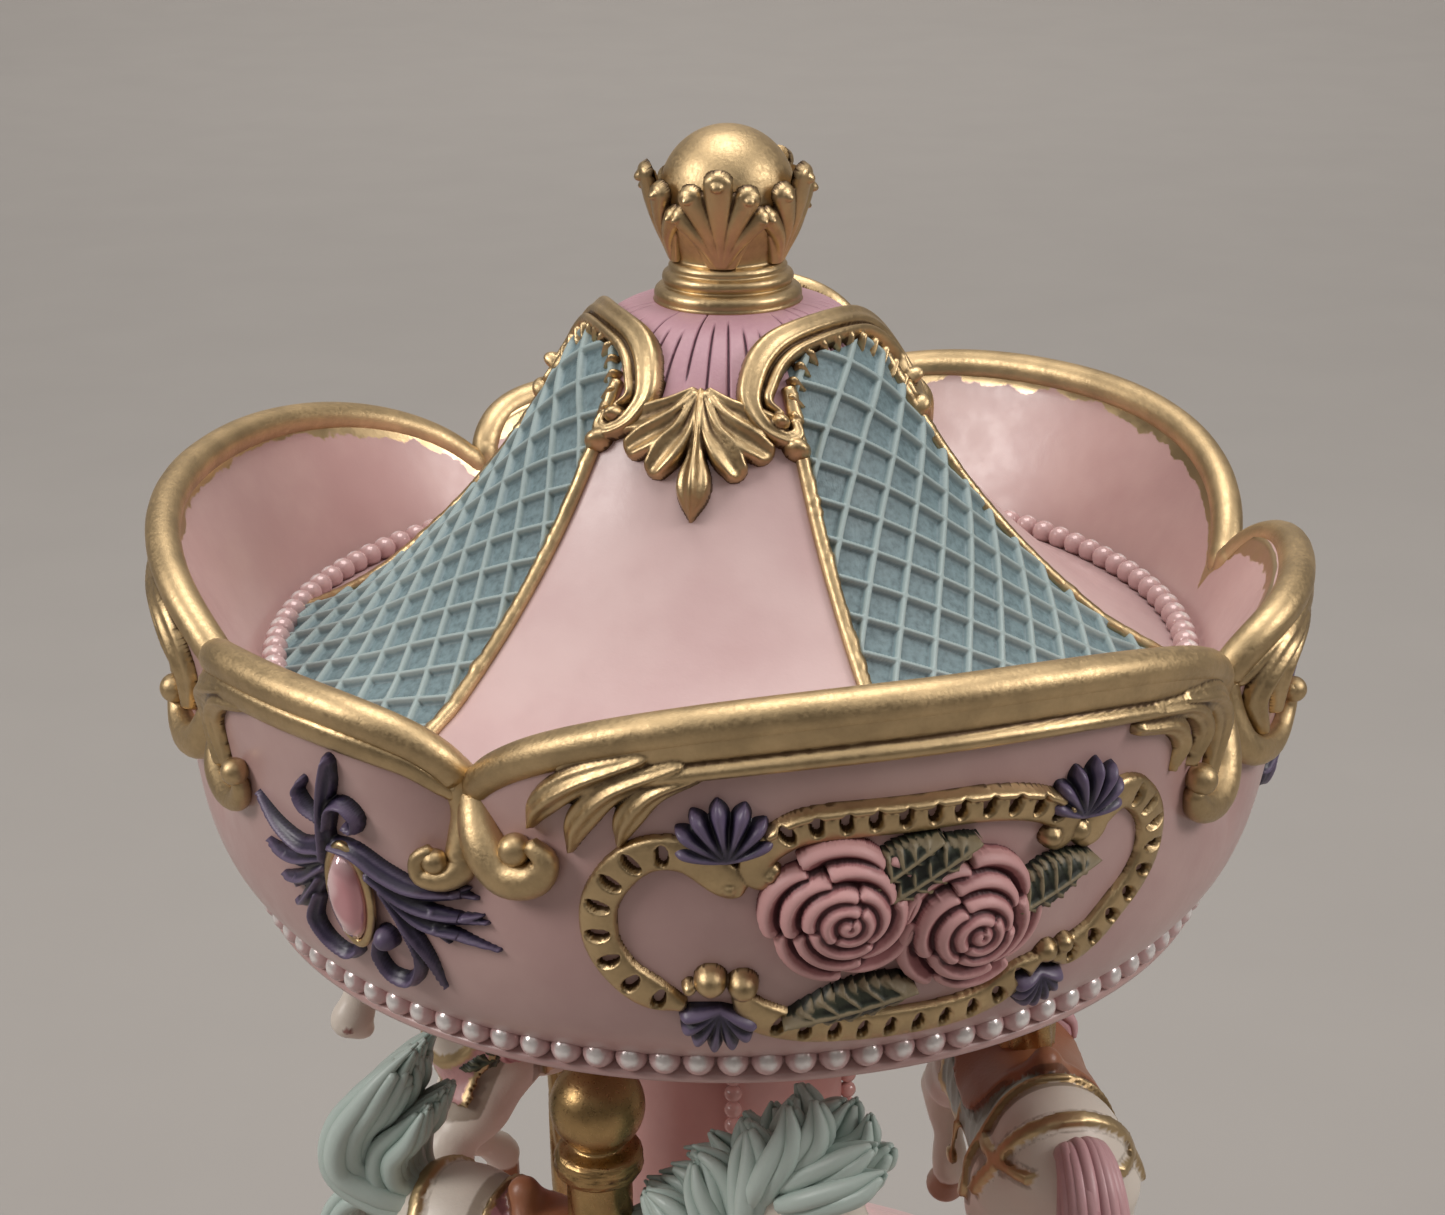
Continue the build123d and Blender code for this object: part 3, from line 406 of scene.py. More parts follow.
class Paint:
    """A painted surface: one principled shader, with small helpers for the nodes that feed it."""

    def __init__(self, name, colour, roughness=0.45, metallic=0.0, **sockets):
        self.material = bpy.data.materials.new(name)
        self.material.use_nodes = True
        self.tree = self.material.node_tree
        self.shader = self.tree.nodes["Principled BSDF"]
        self.shader.inputs["Base Color"].default_value = (*colour, 1)
        self.shader.inputs["Roughness"].default_value = roughness
        self.shader.inputs["Metallic"].default_value = metallic
        for key, value in sockets.items():
            self.shader.inputs[key.replace("_", " ")].default_value = value
        self.place = self.tree.nodes.new("ShaderNodeTexCoord").outputs["Object"]

    def node(self, kind, settings=(), **inputs):
        node = self.tree.nodes.new("ShaderNode" + kind)
        for key, value in dict(settings).items():
            setattr(node, key, value)
        for key, value in inputs.items():
            self.feed(node.inputs[key.replace("_", " ")], value)
        return node

    def feed(self, socket, value):
        """Link a node's output to a socket, or set the socket to a number or colour."""
        if isinstance(value, bpy.types.NodeSocket):
            self.tree.links.new(value, socket)
        elif isinstance(value, tuple) and len(value) == 3 and socket.type == "RGBA":
            socket.default_value = (*value, 1)
        else:
            socket.default_value = value

    def noise(self, size_mm, detail, rough=0.55, stretch=None):
        """Noise whose features are about size_mm across."""
        place = self.place
        if stretch:
            place = self.node("Mapping", Vector=place, Scale=stretch).outputs[0]
        node = self.node("TexNoise", Vector=place, Scale=1 / (size_mm * MM), Detail=detail, Roughness=rough)
        return node.outputs["Fac"]

    def remap(self, value, low, high, to_low=0.0, to_high=1.0):
        """A smooth step of a value from one range to another."""
        node = self.node("MapRange", {"interpolation_type": "SMOOTHSTEP"}, Value=value)
        for key, number in zip(("From Min", "From Max", "To Min", "To Max"), (low, high, to_low, to_high)):
            self.feed(node.inputs[key], number)
        return node.outputs[0]

    def maths(self, kind, first, second):
        node = self.tree.nodes.new("ShaderNodeMath")
        node.operation = kind
        self.feed(node.inputs[0], first)
        self.feed(node.inputs[1], second)
        return node.outputs[0]

    def value(self, key):
        """A number held at the mesh's points."""
        node = self.tree.nodes.new("ShaderNodeAttribute")
        node.attribute_name = key
        return node.outputs["Fac"]

    def blend(self, share, first, second):
        """A mix of two colours."""
        node = self.tree.nodes.new("ShaderNodeMix")
        node.data_type = "RGBA"
        self.feed(node.inputs["Factor"], share)
        self.feed(node.inputs["A"], first)
        self.feed(node.inputs["B"], second)
        return node.outputs["Result"]

    def colour(self, socket):
        self.tree.links.new(socket, self.shader.inputs["Base Color"])

    def bump(self, height, depth_mm):
        """Fine unevenness of the skin."""
        node = self.node("Bump", Height=height, Distance=depth_mm * MM, Strength=1.0)
        self.tree.links.new(node.outputs[0], self.shader.inputs["Normal"])


PINK = (0.57, 0.418, 0.410)
GOLD = (0.55, 0.405, 0.225)
GOLD_DARK = (0.09, 0.048, 0.018)


def enamel(name, colour, deep, roughness=0.34, coat=0.25):
    """Hand-sprayed satin enamel: faint clouds in the colour and a slightly uneven skin."""
    paint = Paint(name, colour, roughness, Coat_Weight=coat, Coat_Roughness=0.25)
    clouds = paint.remap(paint.noise(24, 4), 0.35, 0.7)
    paint.colour(paint.blend(clouds, deep, colour))
    gloss = paint.remap(paint.noise(5, 5), 0.3, 0.7, roughness - 0.06, roughness + 0.08)
    paint.feed(paint.shader.inputs["Roughness"], gloss)
    paint.bump(paint.maths("ADD", paint.noise(3.5, 4), paint.maths("MULTIPLY", paint.noise(0.5, 2), 0.2)),
               0.05)
    return paint


def gilt(name, colour=GOLD, roughness=0.36, patina=True):
    """Gold paint: bright on the raised parts, brown in the recesses, with fine brush marks."""
    paint = Paint(name, colour, roughness, 1.0)
    brush = paint.noise(0.55, 5, 0.7)
    cloud = paint.noise(7, 4)
    worn, bright = tuple(c * 0.82 for c in colour), tuple(c * 1.12 for c in colour)
    base = paint.blend(paint.remap(cloud, 0.3, 0.7), worn, bright)
    if patina:
        recess = paint.maths("ADD", paint.value("relief"), paint.maths("MULTIPLY", paint.noise(1.6, 3), 0.5))
        dark = paint.remap(recess, -0.35, 0.22, 1.0, 0.0)
        base = paint.blend(dark, base, GOLD_DARK)
        paint.feed(paint.shader.inputs["Metallic"], paint.remap(recess, -0.4, 0.2, 0.45, 1.0))
    paint.colour(base)
    paint.feed(paint.shader.inputs["Roughness"],
               paint.remap(brush, 0.25, 0.75, roughness - 0.08, roughness + 0.14))
    paint.bump(paint.maths("ADD", brush, paint.maths("MULTIPLY", paint.noise(2.4, 3), 1.5)), 0.045)
    return paint


def relief_paint(name, deep, middle, edge, roughness, coat=0.0, low=-0.5, high=0.55):
    """Paint that is darker in the recesses and dry-brushed lighter on the raised edges. The dark is painted
    shade, except on the collar and the boards, where it is the grooves' own darker paint.
    """
    paint = Paint(name, middle, roughness, Coat_Weight=coat, Coat_Roughness=0.3)
    height = paint.maths("ADD", paint.value("relief"),
                         paint.maths("MULTIPLY", paint.maths("SUBTRACT", paint.noise(0.9, 4), 0.5), 0.5))
    # painted shade: the deep colour fills the recesses (the grooves' own paint on the collar and boards)
    lower = paint.blend(paint.remap(height, low, 0.02), deep, middle)
    paint.colour(paint.blend(paint.remap(height, 0.06, high), lower, edge))
    paint.bump(paint.noise(0.5, 3), 0.035)
    return paint


def pearl_paint():
    """Pink paint with a painted highlight: a pale, more metallic patch on the side of each bead that faces
    outwards and up.
    """
    paint = Paint("pearl_paint", (0.70, 0.46, 0.46), 0.24, 0.3, Coat_Weight=0.6, Coat_Roughness=0.1)
    highlight_facing = paint.maths("ADD", paint.value("relief"), paint.maths("MULTIPLY", paint.noise(1.1, 3), 0.3))
    # painted highlight: pale where the bead faces outwards and up
    painted_highlight = paint.remap(highlight_facing, 0.90, 1.13)
    paint.colour(paint.blend(painted_highlight, (0.60, 0.395, 0.39), (0.92, 0.88, 0.87)))
    paint.feed(paint.shader.inputs["Metallic"], paint.remap(painted_highlight, 0.0, 1.0, 0.1, 0.45))
    paint.bump(paint.noise(0.9, 3), 0.06)
    return paint


def band_paint():
    """Pink enamel whose inner top edge is overlapped by uneven gold from the rim."""
    paint = enamel("band_enamel", (0.56, 0.372, 0.350), (0.49, 0.305, 0.292))
    base = paint.shader.inputs["Base Color"].links[0].from_socket
    reach = paint.maths("ADD", paint.value("from_rim"), paint.maths("MULTIPLY", paint.noise(7, 4, 0.6), -5.5))
    gold = paint.remap(reach, -0.45, -0.05, 1.0, 0.0)
    paint.colour(paint.blend(gold, base, GOLD))
    paint.feed(paint.shader.inputs["Metallic"], gold)
    return paint


def metal(name, colour, roughness, grain=(1, 1, 1), scratches=0.03):
    """Bare metal with fine marks, which grain stretches along an axis."""
    paint = Paint(name, colour, roughness, 1.0)
    marks = paint.noise(0.6, 4, 0.6, grain)
    paint.feed(paint.shader.inputs["Roughness"],
               paint.remap(marks, 0.25, 0.75, roughness - 0.07, roughness + 0.12))
    paint.colour(paint.blend(paint.noise(9, 3), tuple(c * 0.85 for c in colour), colour))
    paint.bump(marks, scratches)
    return paint


def moulded(name, colour, roughness, grain=0.8):
    """Matt plastic or felt with a fine grain."""
    paint = Paint(name, colour, roughness)
    paint.colour(paint.blend(paint.noise(6, 4), tuple(c * 0.75 for c in colour), colour))
    paint.bump(paint.noise(grain, 3), 0.06)
    return paint


def brushed_colours(name):
    """Horse paint: the colour is held at the points, with painted shade that darkens it in the folds."""
    paint = Paint(name, (0.8, 0.7, 0.6), 0.42, Coat_Weight=0.15, Coat_Roughness=0.3)
    own = paint.tree.nodes.new("ShaderNodeAttribute")
    own.attribute_name = "paint"
    # painted shade: darker where the surroundings close in
    fold = paint.maths("ADD", paint.value("relief"), paint.maths("MULTIPLY", paint.noise(1.8, 4), 0.6))
    fold_shaded = paint.node("Mix", {"data_type": "RGBA", "blend_type": "MULTIPLY"}, Factor=1.0)
    paint.feed(fold_shaded.inputs["A"], own.outputs["Color"])
    fold_shade = paint.blend(paint.remap(fold, -0.25, 0.35), (0.50, 0.46, 0.42), (1.0, 1.0, 1.0))
    paint.feed(fold_shaded.inputs["B"], fold_shade)
    paint.colour(fold_shaded.outputs["Result"])
    paint.feed(paint.shader.inputs["Metallic"], paint.value("metal"))
    paint.bump(paint.noise(0.7, 4), 0.05)
    return paint


GILT = gilt("gold_relief").material
RIM_GILT = gilt("gold_rim", roughness=0.42, patina=False).material
POLE_GILT = gilt("pole_gold_paint", (0.46, 0.30, 0.135), 0.3).material
ENAMEL = enamel("pink_enamel_paint", PINK, (0.51, 0.350, 0.348)).material
COLUMN_ENAMEL = enamel("column_enamel", (0.66, 0.34, 0.315), (0.58, 0.28, 0.26)).material
BAND_ENAMEL = band_paint().material
PEARL = pearl_paint().material
COLUMN_PEARL = enamel("column_pearl_paint", (0.70, 0.39, 0.36), (0.60, 0.30, 0.28), 0.2, 0.6).material
# The first colour of each relief paint is painted shade in the recesses; on the mauve collar and the boards
# it is the grooves' own darker paint.
ROSE = relief_paint("rose_paint", (0.10, 0.03, 0.036), (0.37, 0.155, 0.16), (0.62, 0.34, 0.335), 0.5).material
LEAF = relief_paint("leaf_paint", (0.008, 0.010, 0.006), (0.030, 0.036, 0.021), (0.25, 0.20, 0.12), 0.5,
                    low=-0.3, high=0.5).material
PURPLE = relief_paint("purple_paint", (0.008, 0.006, 0.016), (0.032, 0.024, 0.058), (0.14, 0.105, 0.185),
                      0.42, 0.15, high=0.8).material
LATTICE = relief_paint("lattice_paint", (0.085, 0.13, 0.145), (0.175, 0.25, 0.272), (0.29, 0.365, 0.365), 0.5,
                       low=-0.25, high=0.6).material
MAUVE = relief_paint("mauve_paint", (0.13, 0.055, 0.08), (0.44, 0.245, 0.295), (0.50, 0.30, 0.34), 0.45,
                     low=-0.4, high=0.6).material
HORSE_PAINT = brushed_colours("horse_paint").material


# ---- Balls, volutes and frames shared by the canopy and the base ----

def wall_tube(points, patch):
    """A tube through rows of (x, y, lift, radius) on a patch of wall."""
    line = smooth_line(points, 0.7)
    centre = patch(line[:, 0], line[:, 1], line[:, 2])
    above = patch(line[:, 0], line[:, 1], line[:, 2] + 1)
    return tube(np.concatenate([centre, line[:, 3:4]], 1), 20, unit(above - centre))


def wall_balls(places, patch):
    """Balls from rows of (x, y, lift, radius)."""
    places = np.asarray(places, float)
    return balls(patch(places[:, 0], places[:, 1], places[:, 2]), places[:, 3])


def with_relief(shape, value=0.35):
    """A shape with a constant relief value, so that it can join a relief."""
    return shape[0], shape[1], {"relief": np.full(len(shape[0]), value)}


# the frame's band as (x, y) centre lines: left end, bottom, top and right end
FRAME_LEFT = [(-19.6, 6.6), (-20.9, 7.9), (-25.1, 10.9), (-29.4, 10.9), (-33, 8.1), (-35.6, 3.5),
              (-35.6, -1.5), (-33.4, -5.6), (-30, -8.4), (-26.5, -9.8)]
FRAME_BOTTOM = [(-19.5, -8.2), (-17, -11.8), (-12, -13.9), (-6, -14.6), (0, -14.8), (7.3, -14.6),
                (12.5, -13.5), (16, -11.3), (18.6, -9.2)]
FRAME_TOP = [(-15.4, 9.2), (-16.8, 8.6), (-17.4, 10.2), (-16, 12.4), (-12.5, 14.4), (-7, 15), (0, 15),
             (7, 15), (13, 14.2), (17.6, 12.6), (20.2, 10.4), (19.4, 8.6), (17.9, 9.2)]
FRAME_RIGHT = [(22, 8.4), (24, 7.9), (25.2, 9.8), (28.6, 11.6), (32, 10.2), (34.9, 6.4), (35.4, 1.8),
               (33.6, -2), (30.6, -5), (27.4, -8), (24.4, -9.4), (21.8, -9.6)]
FAN_FLEURONS = [(-20.6, 10.6, 98, 7.6), (-21.6, -10.4, 262, 6.4), (22.4, 10.4, 80, 7.2),
                (19.6, -11.2, 268, 4.8)]


def punch_along(relief, line, pitch, offset):
    """A row of oval dimples across a band."""
    line = smooth_line(line, 0.2)
    along = unit(np.gradient(line, axis=0))
    travelled = np.concatenate([[0], np.cumsum(np.linalg.norm(np.diff(line, axis=0), axis=1))])
    count = int((travelled[-1] - pitch) / pitch)
    for distance in np.linspace(pitch * 0.8, travelled[-1] - pitch * 0.8, max(count, 2)):
        i = int(np.searchsorted(travelled, distance))
        x, y = line[i] + offset * np.array([-along[i][1], along[i][0]])
        relief.punch(x, y, 1.65, 0.92, (-along[i][1], along[i][0]), 1.5)


def cartouche_relief():
    """The gold frame: four bands with punched ovals, curls and beads."""
    relief = Relief(80, 42)
    for line, half in ((FRAME_LEFT, 2.3), (FRAME_BOTTOM, 2.3), (FRAME_RIGHT, 2.25), (FRAME_TOP, 2.1)):
        rows = np.array([(x, y, half, 1.5) for x, y in line])
        rows[[0, -1], 2] = half * 0.42
        relief.stroke(rows, edge=0.3)
    relief.stroke([(x, y + 1.9, 0.75, 2.1) for x, y in FRAME_TOP[3:11]])
    for line, pitch, offset in ((FRAME_LEFT[2:], 3.3, 0), (FRAME_BOTTOM[1:], 3.2, 0),
                                (FRAME_RIGHT[3:], 3.0, 0), (FRAME_TOP[3:11], 3.1, 0.5)):
        punch_along(relief, line, pitch, offset)
    for x, y, half, height in ((-22.7, -6.2, 2.1, 2.9), (-18.9, -6.8, 2.0, 2.9), (-25.2, -7.2, 1.0, 2.0),
                               (-20.4, 7.0, 1.2, 2.0), (-15.9, 8.7, 1.1, 2.0), (18.2, 8.8, 1.5, 2.2),
                               (22.2, 8.6, 1.6, 2.1), (20.2, -8.4, 1.6, 2.0), (22.8, -8.0, 1.4, 1.9)):
        relief.dome(x, y, half, height)
    return relief


def fan_relief():
    """Purple fans of seven pleats at the frame's four breaks."""
    relief = Relief(66, 46, 0.18)
    for x, y, direction, length in FAN_FLEURONS:
        for k, share in enumerate((0.74, 0.86, 0.96, 1.0, 0.95, 0.88, 0.76)):
            a = math.radians(direction + (k - 3) * 23)
            tip = length * share
            rows = [(x, y, 0.5, 1.4)]
            for along, half, height in ((0.45, 0.95, 2.2), (0.8, 1.2, 2.3), (0.94, 0.8, 1.9),
                                        (1.04, 0.25, 1.2)):
                rows.append((x + along * tip * math.cos(a), y + along * tip * math.sin(a), half, height))
            relief.stroke(rows, edge=0.9)
    return relief


def rose_relief(size, seed):
    """A cabbage rose: rings of overlapping petals, each a lip that falls away inwards, round a tight bud."""
    relief = Relief(2.3 * size, 2.3 * size, 0.16)
    random = np.random.default_rng(seed)
    x, y = np.meshgrid(relief.x, relief.y)
    r, angle = np.hypot(x, y), np.degrees(np.arctan2(y, x))
    layers = ((0.98, 5, 2.7), (0.73, 4, 3.8), (0.50, 3, 4.7), (0.31, 2, 5.2), (0.15, 1, 5.4))
    for reach, petals, top in layers:
        turn = ((angle - random.uniform(0, 360)) * petals / 360) % 1
        bulge = 0.86 + 0.10 * np.sin(np.pi * turn) ** 0.7 + 0.14 * turn
        lip = size * reach * (bulge if petals > 1 else 0.6 + 0.5 * turn)
        inside = lip - r
        rise = top - 0.85 * np.maximum(inside - 0.8, 0) - 0.5 * np.clip(1 - inside / 0.7, 0, None) ** 2
        to_seam = np.minimum(turn, 1 - turn) * 2 * np.pi * r / petals
        rise -= 0.35 * np.exp(-(to_seam / 0.22) ** 2) * (petals > 1)
        relief.h = np.maximum(relief.h, np.where(inside < -0.3, -1, rise))
    return relief


def leaf_relief():
    """Four leaves: two above the roses, one to the right and one below."""
    relief = Relief(66, 44, 0.17)
    relief.leaf((-2.6, 5.4), (8.0, 11.4), 3.5, 3.1)
    relief.leaf((-4.6, 7.0), (3.4, 12.4), 2.8, 2.9)
    relief.leaf((13.4, 0.8), (24.6, 4.9), 3.6, 3.1)
    relief.leaf((1.6, -7.8), (-14.2, -12.0), 2.9, 3.0)
    return relief


def flourish_relief():
    """The purple flourish round the gem: a stem with curls, a plume to each side and a curl below."""
    relief = Relief(50, 46, 0.2)
    strokes = [
        [(1.8, 18.4, 1.1, 2.2), (1.0, 15.4, 1.7, 2.5), (-0.2, 11.5, 1.3, 2.3), (-0.6, 8.2, 1.6, 2.4),
         (-1.2, 4.6, 2.4, 2.2)],
        [(-0.6, 9.5, 1.0, 2.0), (-3.2, 10.6, 1.1, 2.2), (-4.4, 12.6, 0.9, 2.0), (-3.4, 14.2, 0.7, 1.6)],
        [(0, 8.8, 1.0, 2.0), (1.2, 11.8, 1.1, 2.2), (3.4, 12.8, 1.1, 2.4), (5.0, 11.4, 1.0, 2.4),
         (4.4, 9.6, 0.9, 2.2), (3.2, 9.8, 0.7, 2.0)],
        [(-1.4, 5.2, 2.0, 2.3), (-5.5, 4.2, 1.7, 2.2), (-10, 5.6, 1.2, 1.9), (-14.2, 8.6, 0.35, 1.0)],
        [(-1.8, 4, 1.9, 2.2), (-7, 1.8, 1.6, 2.1), (-11, 1.4, 1.1, 1.7), (-14, 1.8, 0.35, 1.0)],
        [(-1.8, 2.6, 1.8, 2.2), (-6, -0.6, 1.5, 2.1), (-9.5, -2.0, 1.1, 1.7), (-12, -2.4, 0.35, 1.0)],
        [(-3, 0.6, 1.5, 2.0), (-6.4, -3.4, 1.5, 2.1), (-8.8, -5.4, 0.9, 1.5), (-10.2, -5.6, 0.35, 0.9)],
        [(-4.4, -2.5, 1.2, 2.0), (-6.2, -6.2, 1.5, 2.2), (-4.6, -9.2, 1.3, 2.1), (-1.4, -10.4, 1.1, 2.0),
         (0.9, -9.2, 0.9, 1.8), (1.2, -7.8, 0.6, 1.4)],
        [(0.8, 6.4, 1.4, 2.3), (4, 6.2, 1.6, 2.4), (8, 4.0, 1.9, 2.4), (12.5, 2.6, 1.6, 2.2),
         (19.8, 2.6, 0.4, 1.0)],
        [(6, 3.6, 1.5, 2.3), (11, 0.6, 1.6, 2.2), (16.5, -0.4, 1.2, 1.9), (21.4, -0.2, 0.35, 1.0)],
        [(7, 3, 1.4, 2.2), (12, -1.4, 1.4, 2.1), (17, -2.6, 1.1, 1.8), (23, -3.4, 0.35, 0.9)],
        [(7.6, 2, 1.4, 2.2), (10.8, -3.2, 1.4, 2.1), (13.2, -7, 0.9, 1.6), (14.2, -11, 0.35, 0.9)],
        [(9.5, -1.6, 1.0, 2.0), (11.6, -6.6, 1.0, 2.1), (9.6, -10.8, 1.2, 2.2), (6.2, -11, 1.1, 2.1),
         (4.6, -8.4, 1.0, 2.0), (5.2, -6.0, 1.0, 2.0)],
    ]
    for rows in strokes:
        relief.stroke([(x, y, 0.8 * half, height) for x, y, half, height in rows], grooves=2, cut=0.3,
                      edge=0.65)
    for x, y, direction in ((-8.5, 5.0, 215), (-9.5, 1.5, 200), (-8, -1.4, 235), (9, 3.6, 300),
                            (14, 0.2, 320), (14.5, -2, 310), (11.4, -4, 250), (16.5, 2.6, 25),
                            (18.5, -0.2, 20)):
        a = math.radians(direction)
        relief.stroke([(x, y, 0.7, 1.7), (x + 2.4 * math.cos(a), y + 2.4 * math.sin(a), 0.2, 0.8)])
    relief.dome(6.8, -5.2, 1.7, 2.7)
    return relief


def ornament(relief, patch):
    """Three copies around the axis of a relief on a patch of wall."""
    return thrice(relief.shape(patch))


def gem_shapes(patch, x, y, half_wide, half_long):
    """A faceted marquise and its gold bezel."""
    corners = 16
    a = np.linspace(0, 2 * np.pi, corners, endpoint=False)
    rings = []
    for share, lift in ((1.0, 0.6), (0.98, 1.8), (0.74, 2.9), (0.40, 3.2)):
        wide = half_wide * share * np.sign(np.cos(a)) * np.abs(np.cos(a)) ** 1.25
        rings.append(patch(x + wide, y + half_long * share * np.sin(a), np.full(corners, lift)))
    top = patch(np.array([x]), np.array([y]), np.array([3.1]))
    quads = grid_faces(len(rings), corners, True)
    ring = np.arange(corners) + (len(rings) - 1) * corners
    fan = np.stack([ring, np.roll(ring, -1), np.full(corners, len(rings) * corners)], -1)
    triangles = np.concatenate([quads[:, [0, 1, 2]], quads[:, [0, 2, 3]], fan])
    gem = np.concatenate([*rings, top]), [triangles], {}
    wide = (half_wide + 0.5) * np.sign(np.cos(a)) * np.abs(np.cos(a)) ** 1.2
    centre = patch(x + wide, y + (half_long + 0.7) * np.sin(a), np.full(corners, 1.2))
    above = patch(x + wide, y + (half_long + 0.7) * np.sin(a), np.full(corners, 2.2))
    line = smooth_line(np.concatenate([centre, np.full((corners, 1), 0.62)], 1), 0.6, True)
    guide = unit(above - centre)[np.linspace(0, corners, len(line), endpoint=False).astype(int)]
    return gem, tube(line, 10, guide, True)


def gem_paint():
    """Pink glass."""
    paint = Paint("gem_glass", (0.86, 0.50, 0.52), 0.05, 0.35, IOR=1.6, Coat_Weight=1.0)
    paint.colour(paint.blend(paint.remap(paint.noise(6, 1), 0.4, 0.6), (0.66, 0.30, 0.33),
                             (0.92, 0.62, 0.64)))
    return paint.material


GEM = gem_paint()


def applied_ornaments(prefix, body, cartouche_patch, flourish_patch):
    """The ornaments that the canopy band and the base both carry."""
    write_piece(prefix + "_frame", ornament(cartouche_relief(), cartouche_patch), GILT, body,
                [prefix + "_cartouches"])
    roses = []
    for x, y, size, seed, turn in ((-7.6, 3.6, 9.2, 3, 0.4), (7.8, -0.2, 9.2, 8, 2.1)):
        relief = rose_relief(size, seed)
        c, s = math.cos(turn), math.sin(turn)
        roses.append(relief.shape(lambda u, v, lift, x=x, y=y, c=c, s=s:
                                  cartouche_patch(x + c * u - s * v, y + s * u + c * v, lift), 0.9))
    write_piece(prefix + "_rose_heads", thrice(joined(roses)), ROSE, body, [prefix + "_roses"])
    write_piece(prefix + "_rose_leaves", ornament(leaf_relief(), cartouche_patch), LEAF, body,
                [prefix + "_leaves"])
    write_piece(prefix + "_fans", ornament(fan_relief(), cartouche_patch), PURPLE, body)
    write_piece(prefix + "_flourish", ornament(flourish_relief(), flourish_patch), PURPLE, body,
                [prefix + "_flourishes"])
    gem, bezel = gem_shapes(flourish_patch, 2.3, 0.0, 2.7, 6.4)
    write_piece(prefix + "_gem_stones", thrice(gem), GEM, body, [prefix + "_gems"], flat=True)
    write_piece(prefix + "_bezels", thrice(with_relief(bezel)), GILT, body)


# ---- Canopy ----

def band_shape():
    """The scalloped band: foot, flared outer wall, inner wall and the shelf that carries the roof."""
    columns = 720
    azimuth = np.linspace(0, 360, columns, endpoint=False)
    rim = rim_height(azimuth)
    rows = []

    def row(radius, height, rim_distance=30.0):
        rows.append((radius + 0 * azimuth, height + 0 * azimuth, rim_distance + 0 * azimuth))

    for radius, height in ((65.5, 1), (65.5, -2.2), (66.2, -3.0), (68.2, -3.2), (69.8, -3.0), (70.8, -2.5),
                           (71.0, -1.9), (70.5, -1.4), (69.5, -0.9), (69, 0)):
        row(radius, height)
    for share in np.linspace(0.02, 1, 44) ** 1.4:
        height = rim * share
        row(band_radius(azimuth, height), height)
    top = band_radius(azimuth, rim)
    thickness, shelf_height = 3.0, 29.6
    for share in np.linspace(0, 1, 22):                 # down the inner wall to the shelf
        height = rim + (shelf_height - rim) * share
        cone = 68.4 + 11 * (height - 29) / 21
        inner = np.minimum(cone, band_radius(azimuth, height) - thickness)
        row(np.minimum(inner, top - thickness), height, rim - height)
    for radius, height in ((67.9, 28.9), (67.2, 28.6), (62, 28.6), (62, 25.6), (74.4, 24.6), (74, 20),
                           (72, 10), (69.6, 4.6), (67.5, 2.6)):
        row(radius, height)
    rows.append(rows[0])
    points = np.concatenate([radial(azimuth, radius, RING_Z + height) for radius, height, _ in rows])
    from_rim = np.concatenate([distance for _, _, distance in rows])
    return points, [grid_faces(len(rows), columns, True)], {"from_rim": from_rim}


def rim_lines():
    """For each kind of lobe, (x, y, lift, radius) rows of its rim with the curled ends, and their patch."""
    lines = []
    lobes = (
        (LARGE_LOBE, LARGE_HALF, CARTOUCHE_AZIMUTH, CARTOUCHE_Z,
         [(-43.4, 10.4, 1.4, 1.1), (-41.6, 8.6, 1.4, 1.6), (-43.2, 5.9, 1.2, 2.3), (-47.2, 5.3, 1.0, 2.8),
          (-50.6, 8.4, 0.7, 2.8)],
         [(56.6, 7.2, 0.2, 2.7), (54, 3.8, 0.7, 2.7), (49.6, 2.6, 1.0, 2.5), (45.4, 3.8, 1.2, 2.0),
          (43.4, 6.6, 1.3, 1.3)]),
        (SMALL_LOBE, SMALL_HALF, FLOURISH_AZIMUTH, FLOURISH_Z,
         [(-18.6, 11.6, 1.3, 0.9), (-17.2, 8.6, 1.2, 1.2), (-19.8, 5.6, 1.0, 1.6), (-25.2, 5.0, 0.7, 2.0),
          (-30.6, 7.6, 0.4, 2.3)],
         [(17.6, 7.6, 0.7, 2.1), (15.8, 5.0, 1.1, 1.7), (12.9, 5.2, 1.3, 1.3), (12.5, 7.4, 1.4, 1.0),
          (14.0, 8.6, 1.4, 0.9)]),
    )
    for lobe, half, centre, middle, first, last in lobes:
        count = 25
        place = np.sin(np.linspace(-1, 1, count) * np.pi / 2 * 0.985)
        azimuth = lobe + half * place
        top = np.stack([(azimuth - centre) * MM_PER_DEGREE, rim_height(azimuth) - middle,
                        np.full(count, -1.5), 2.35 + 0.15 * (1 - place**2)], -1)
        lines.append((np.concatenate([np.array(first), top[1:-1], np.array(last)]),
                      band_patch(centre, middle)))
    return lines


VOLUTE_BALLS = [(-45.4, 9.3, 1.6, 2.0), (44.6, 8.0, 1.5, 2.1)]
SMALL_VOLUTE_BALLS = [(-17.4, 10.8, 1.5, 1.8), (14.4, 7.2, 1.4, 1.6)]


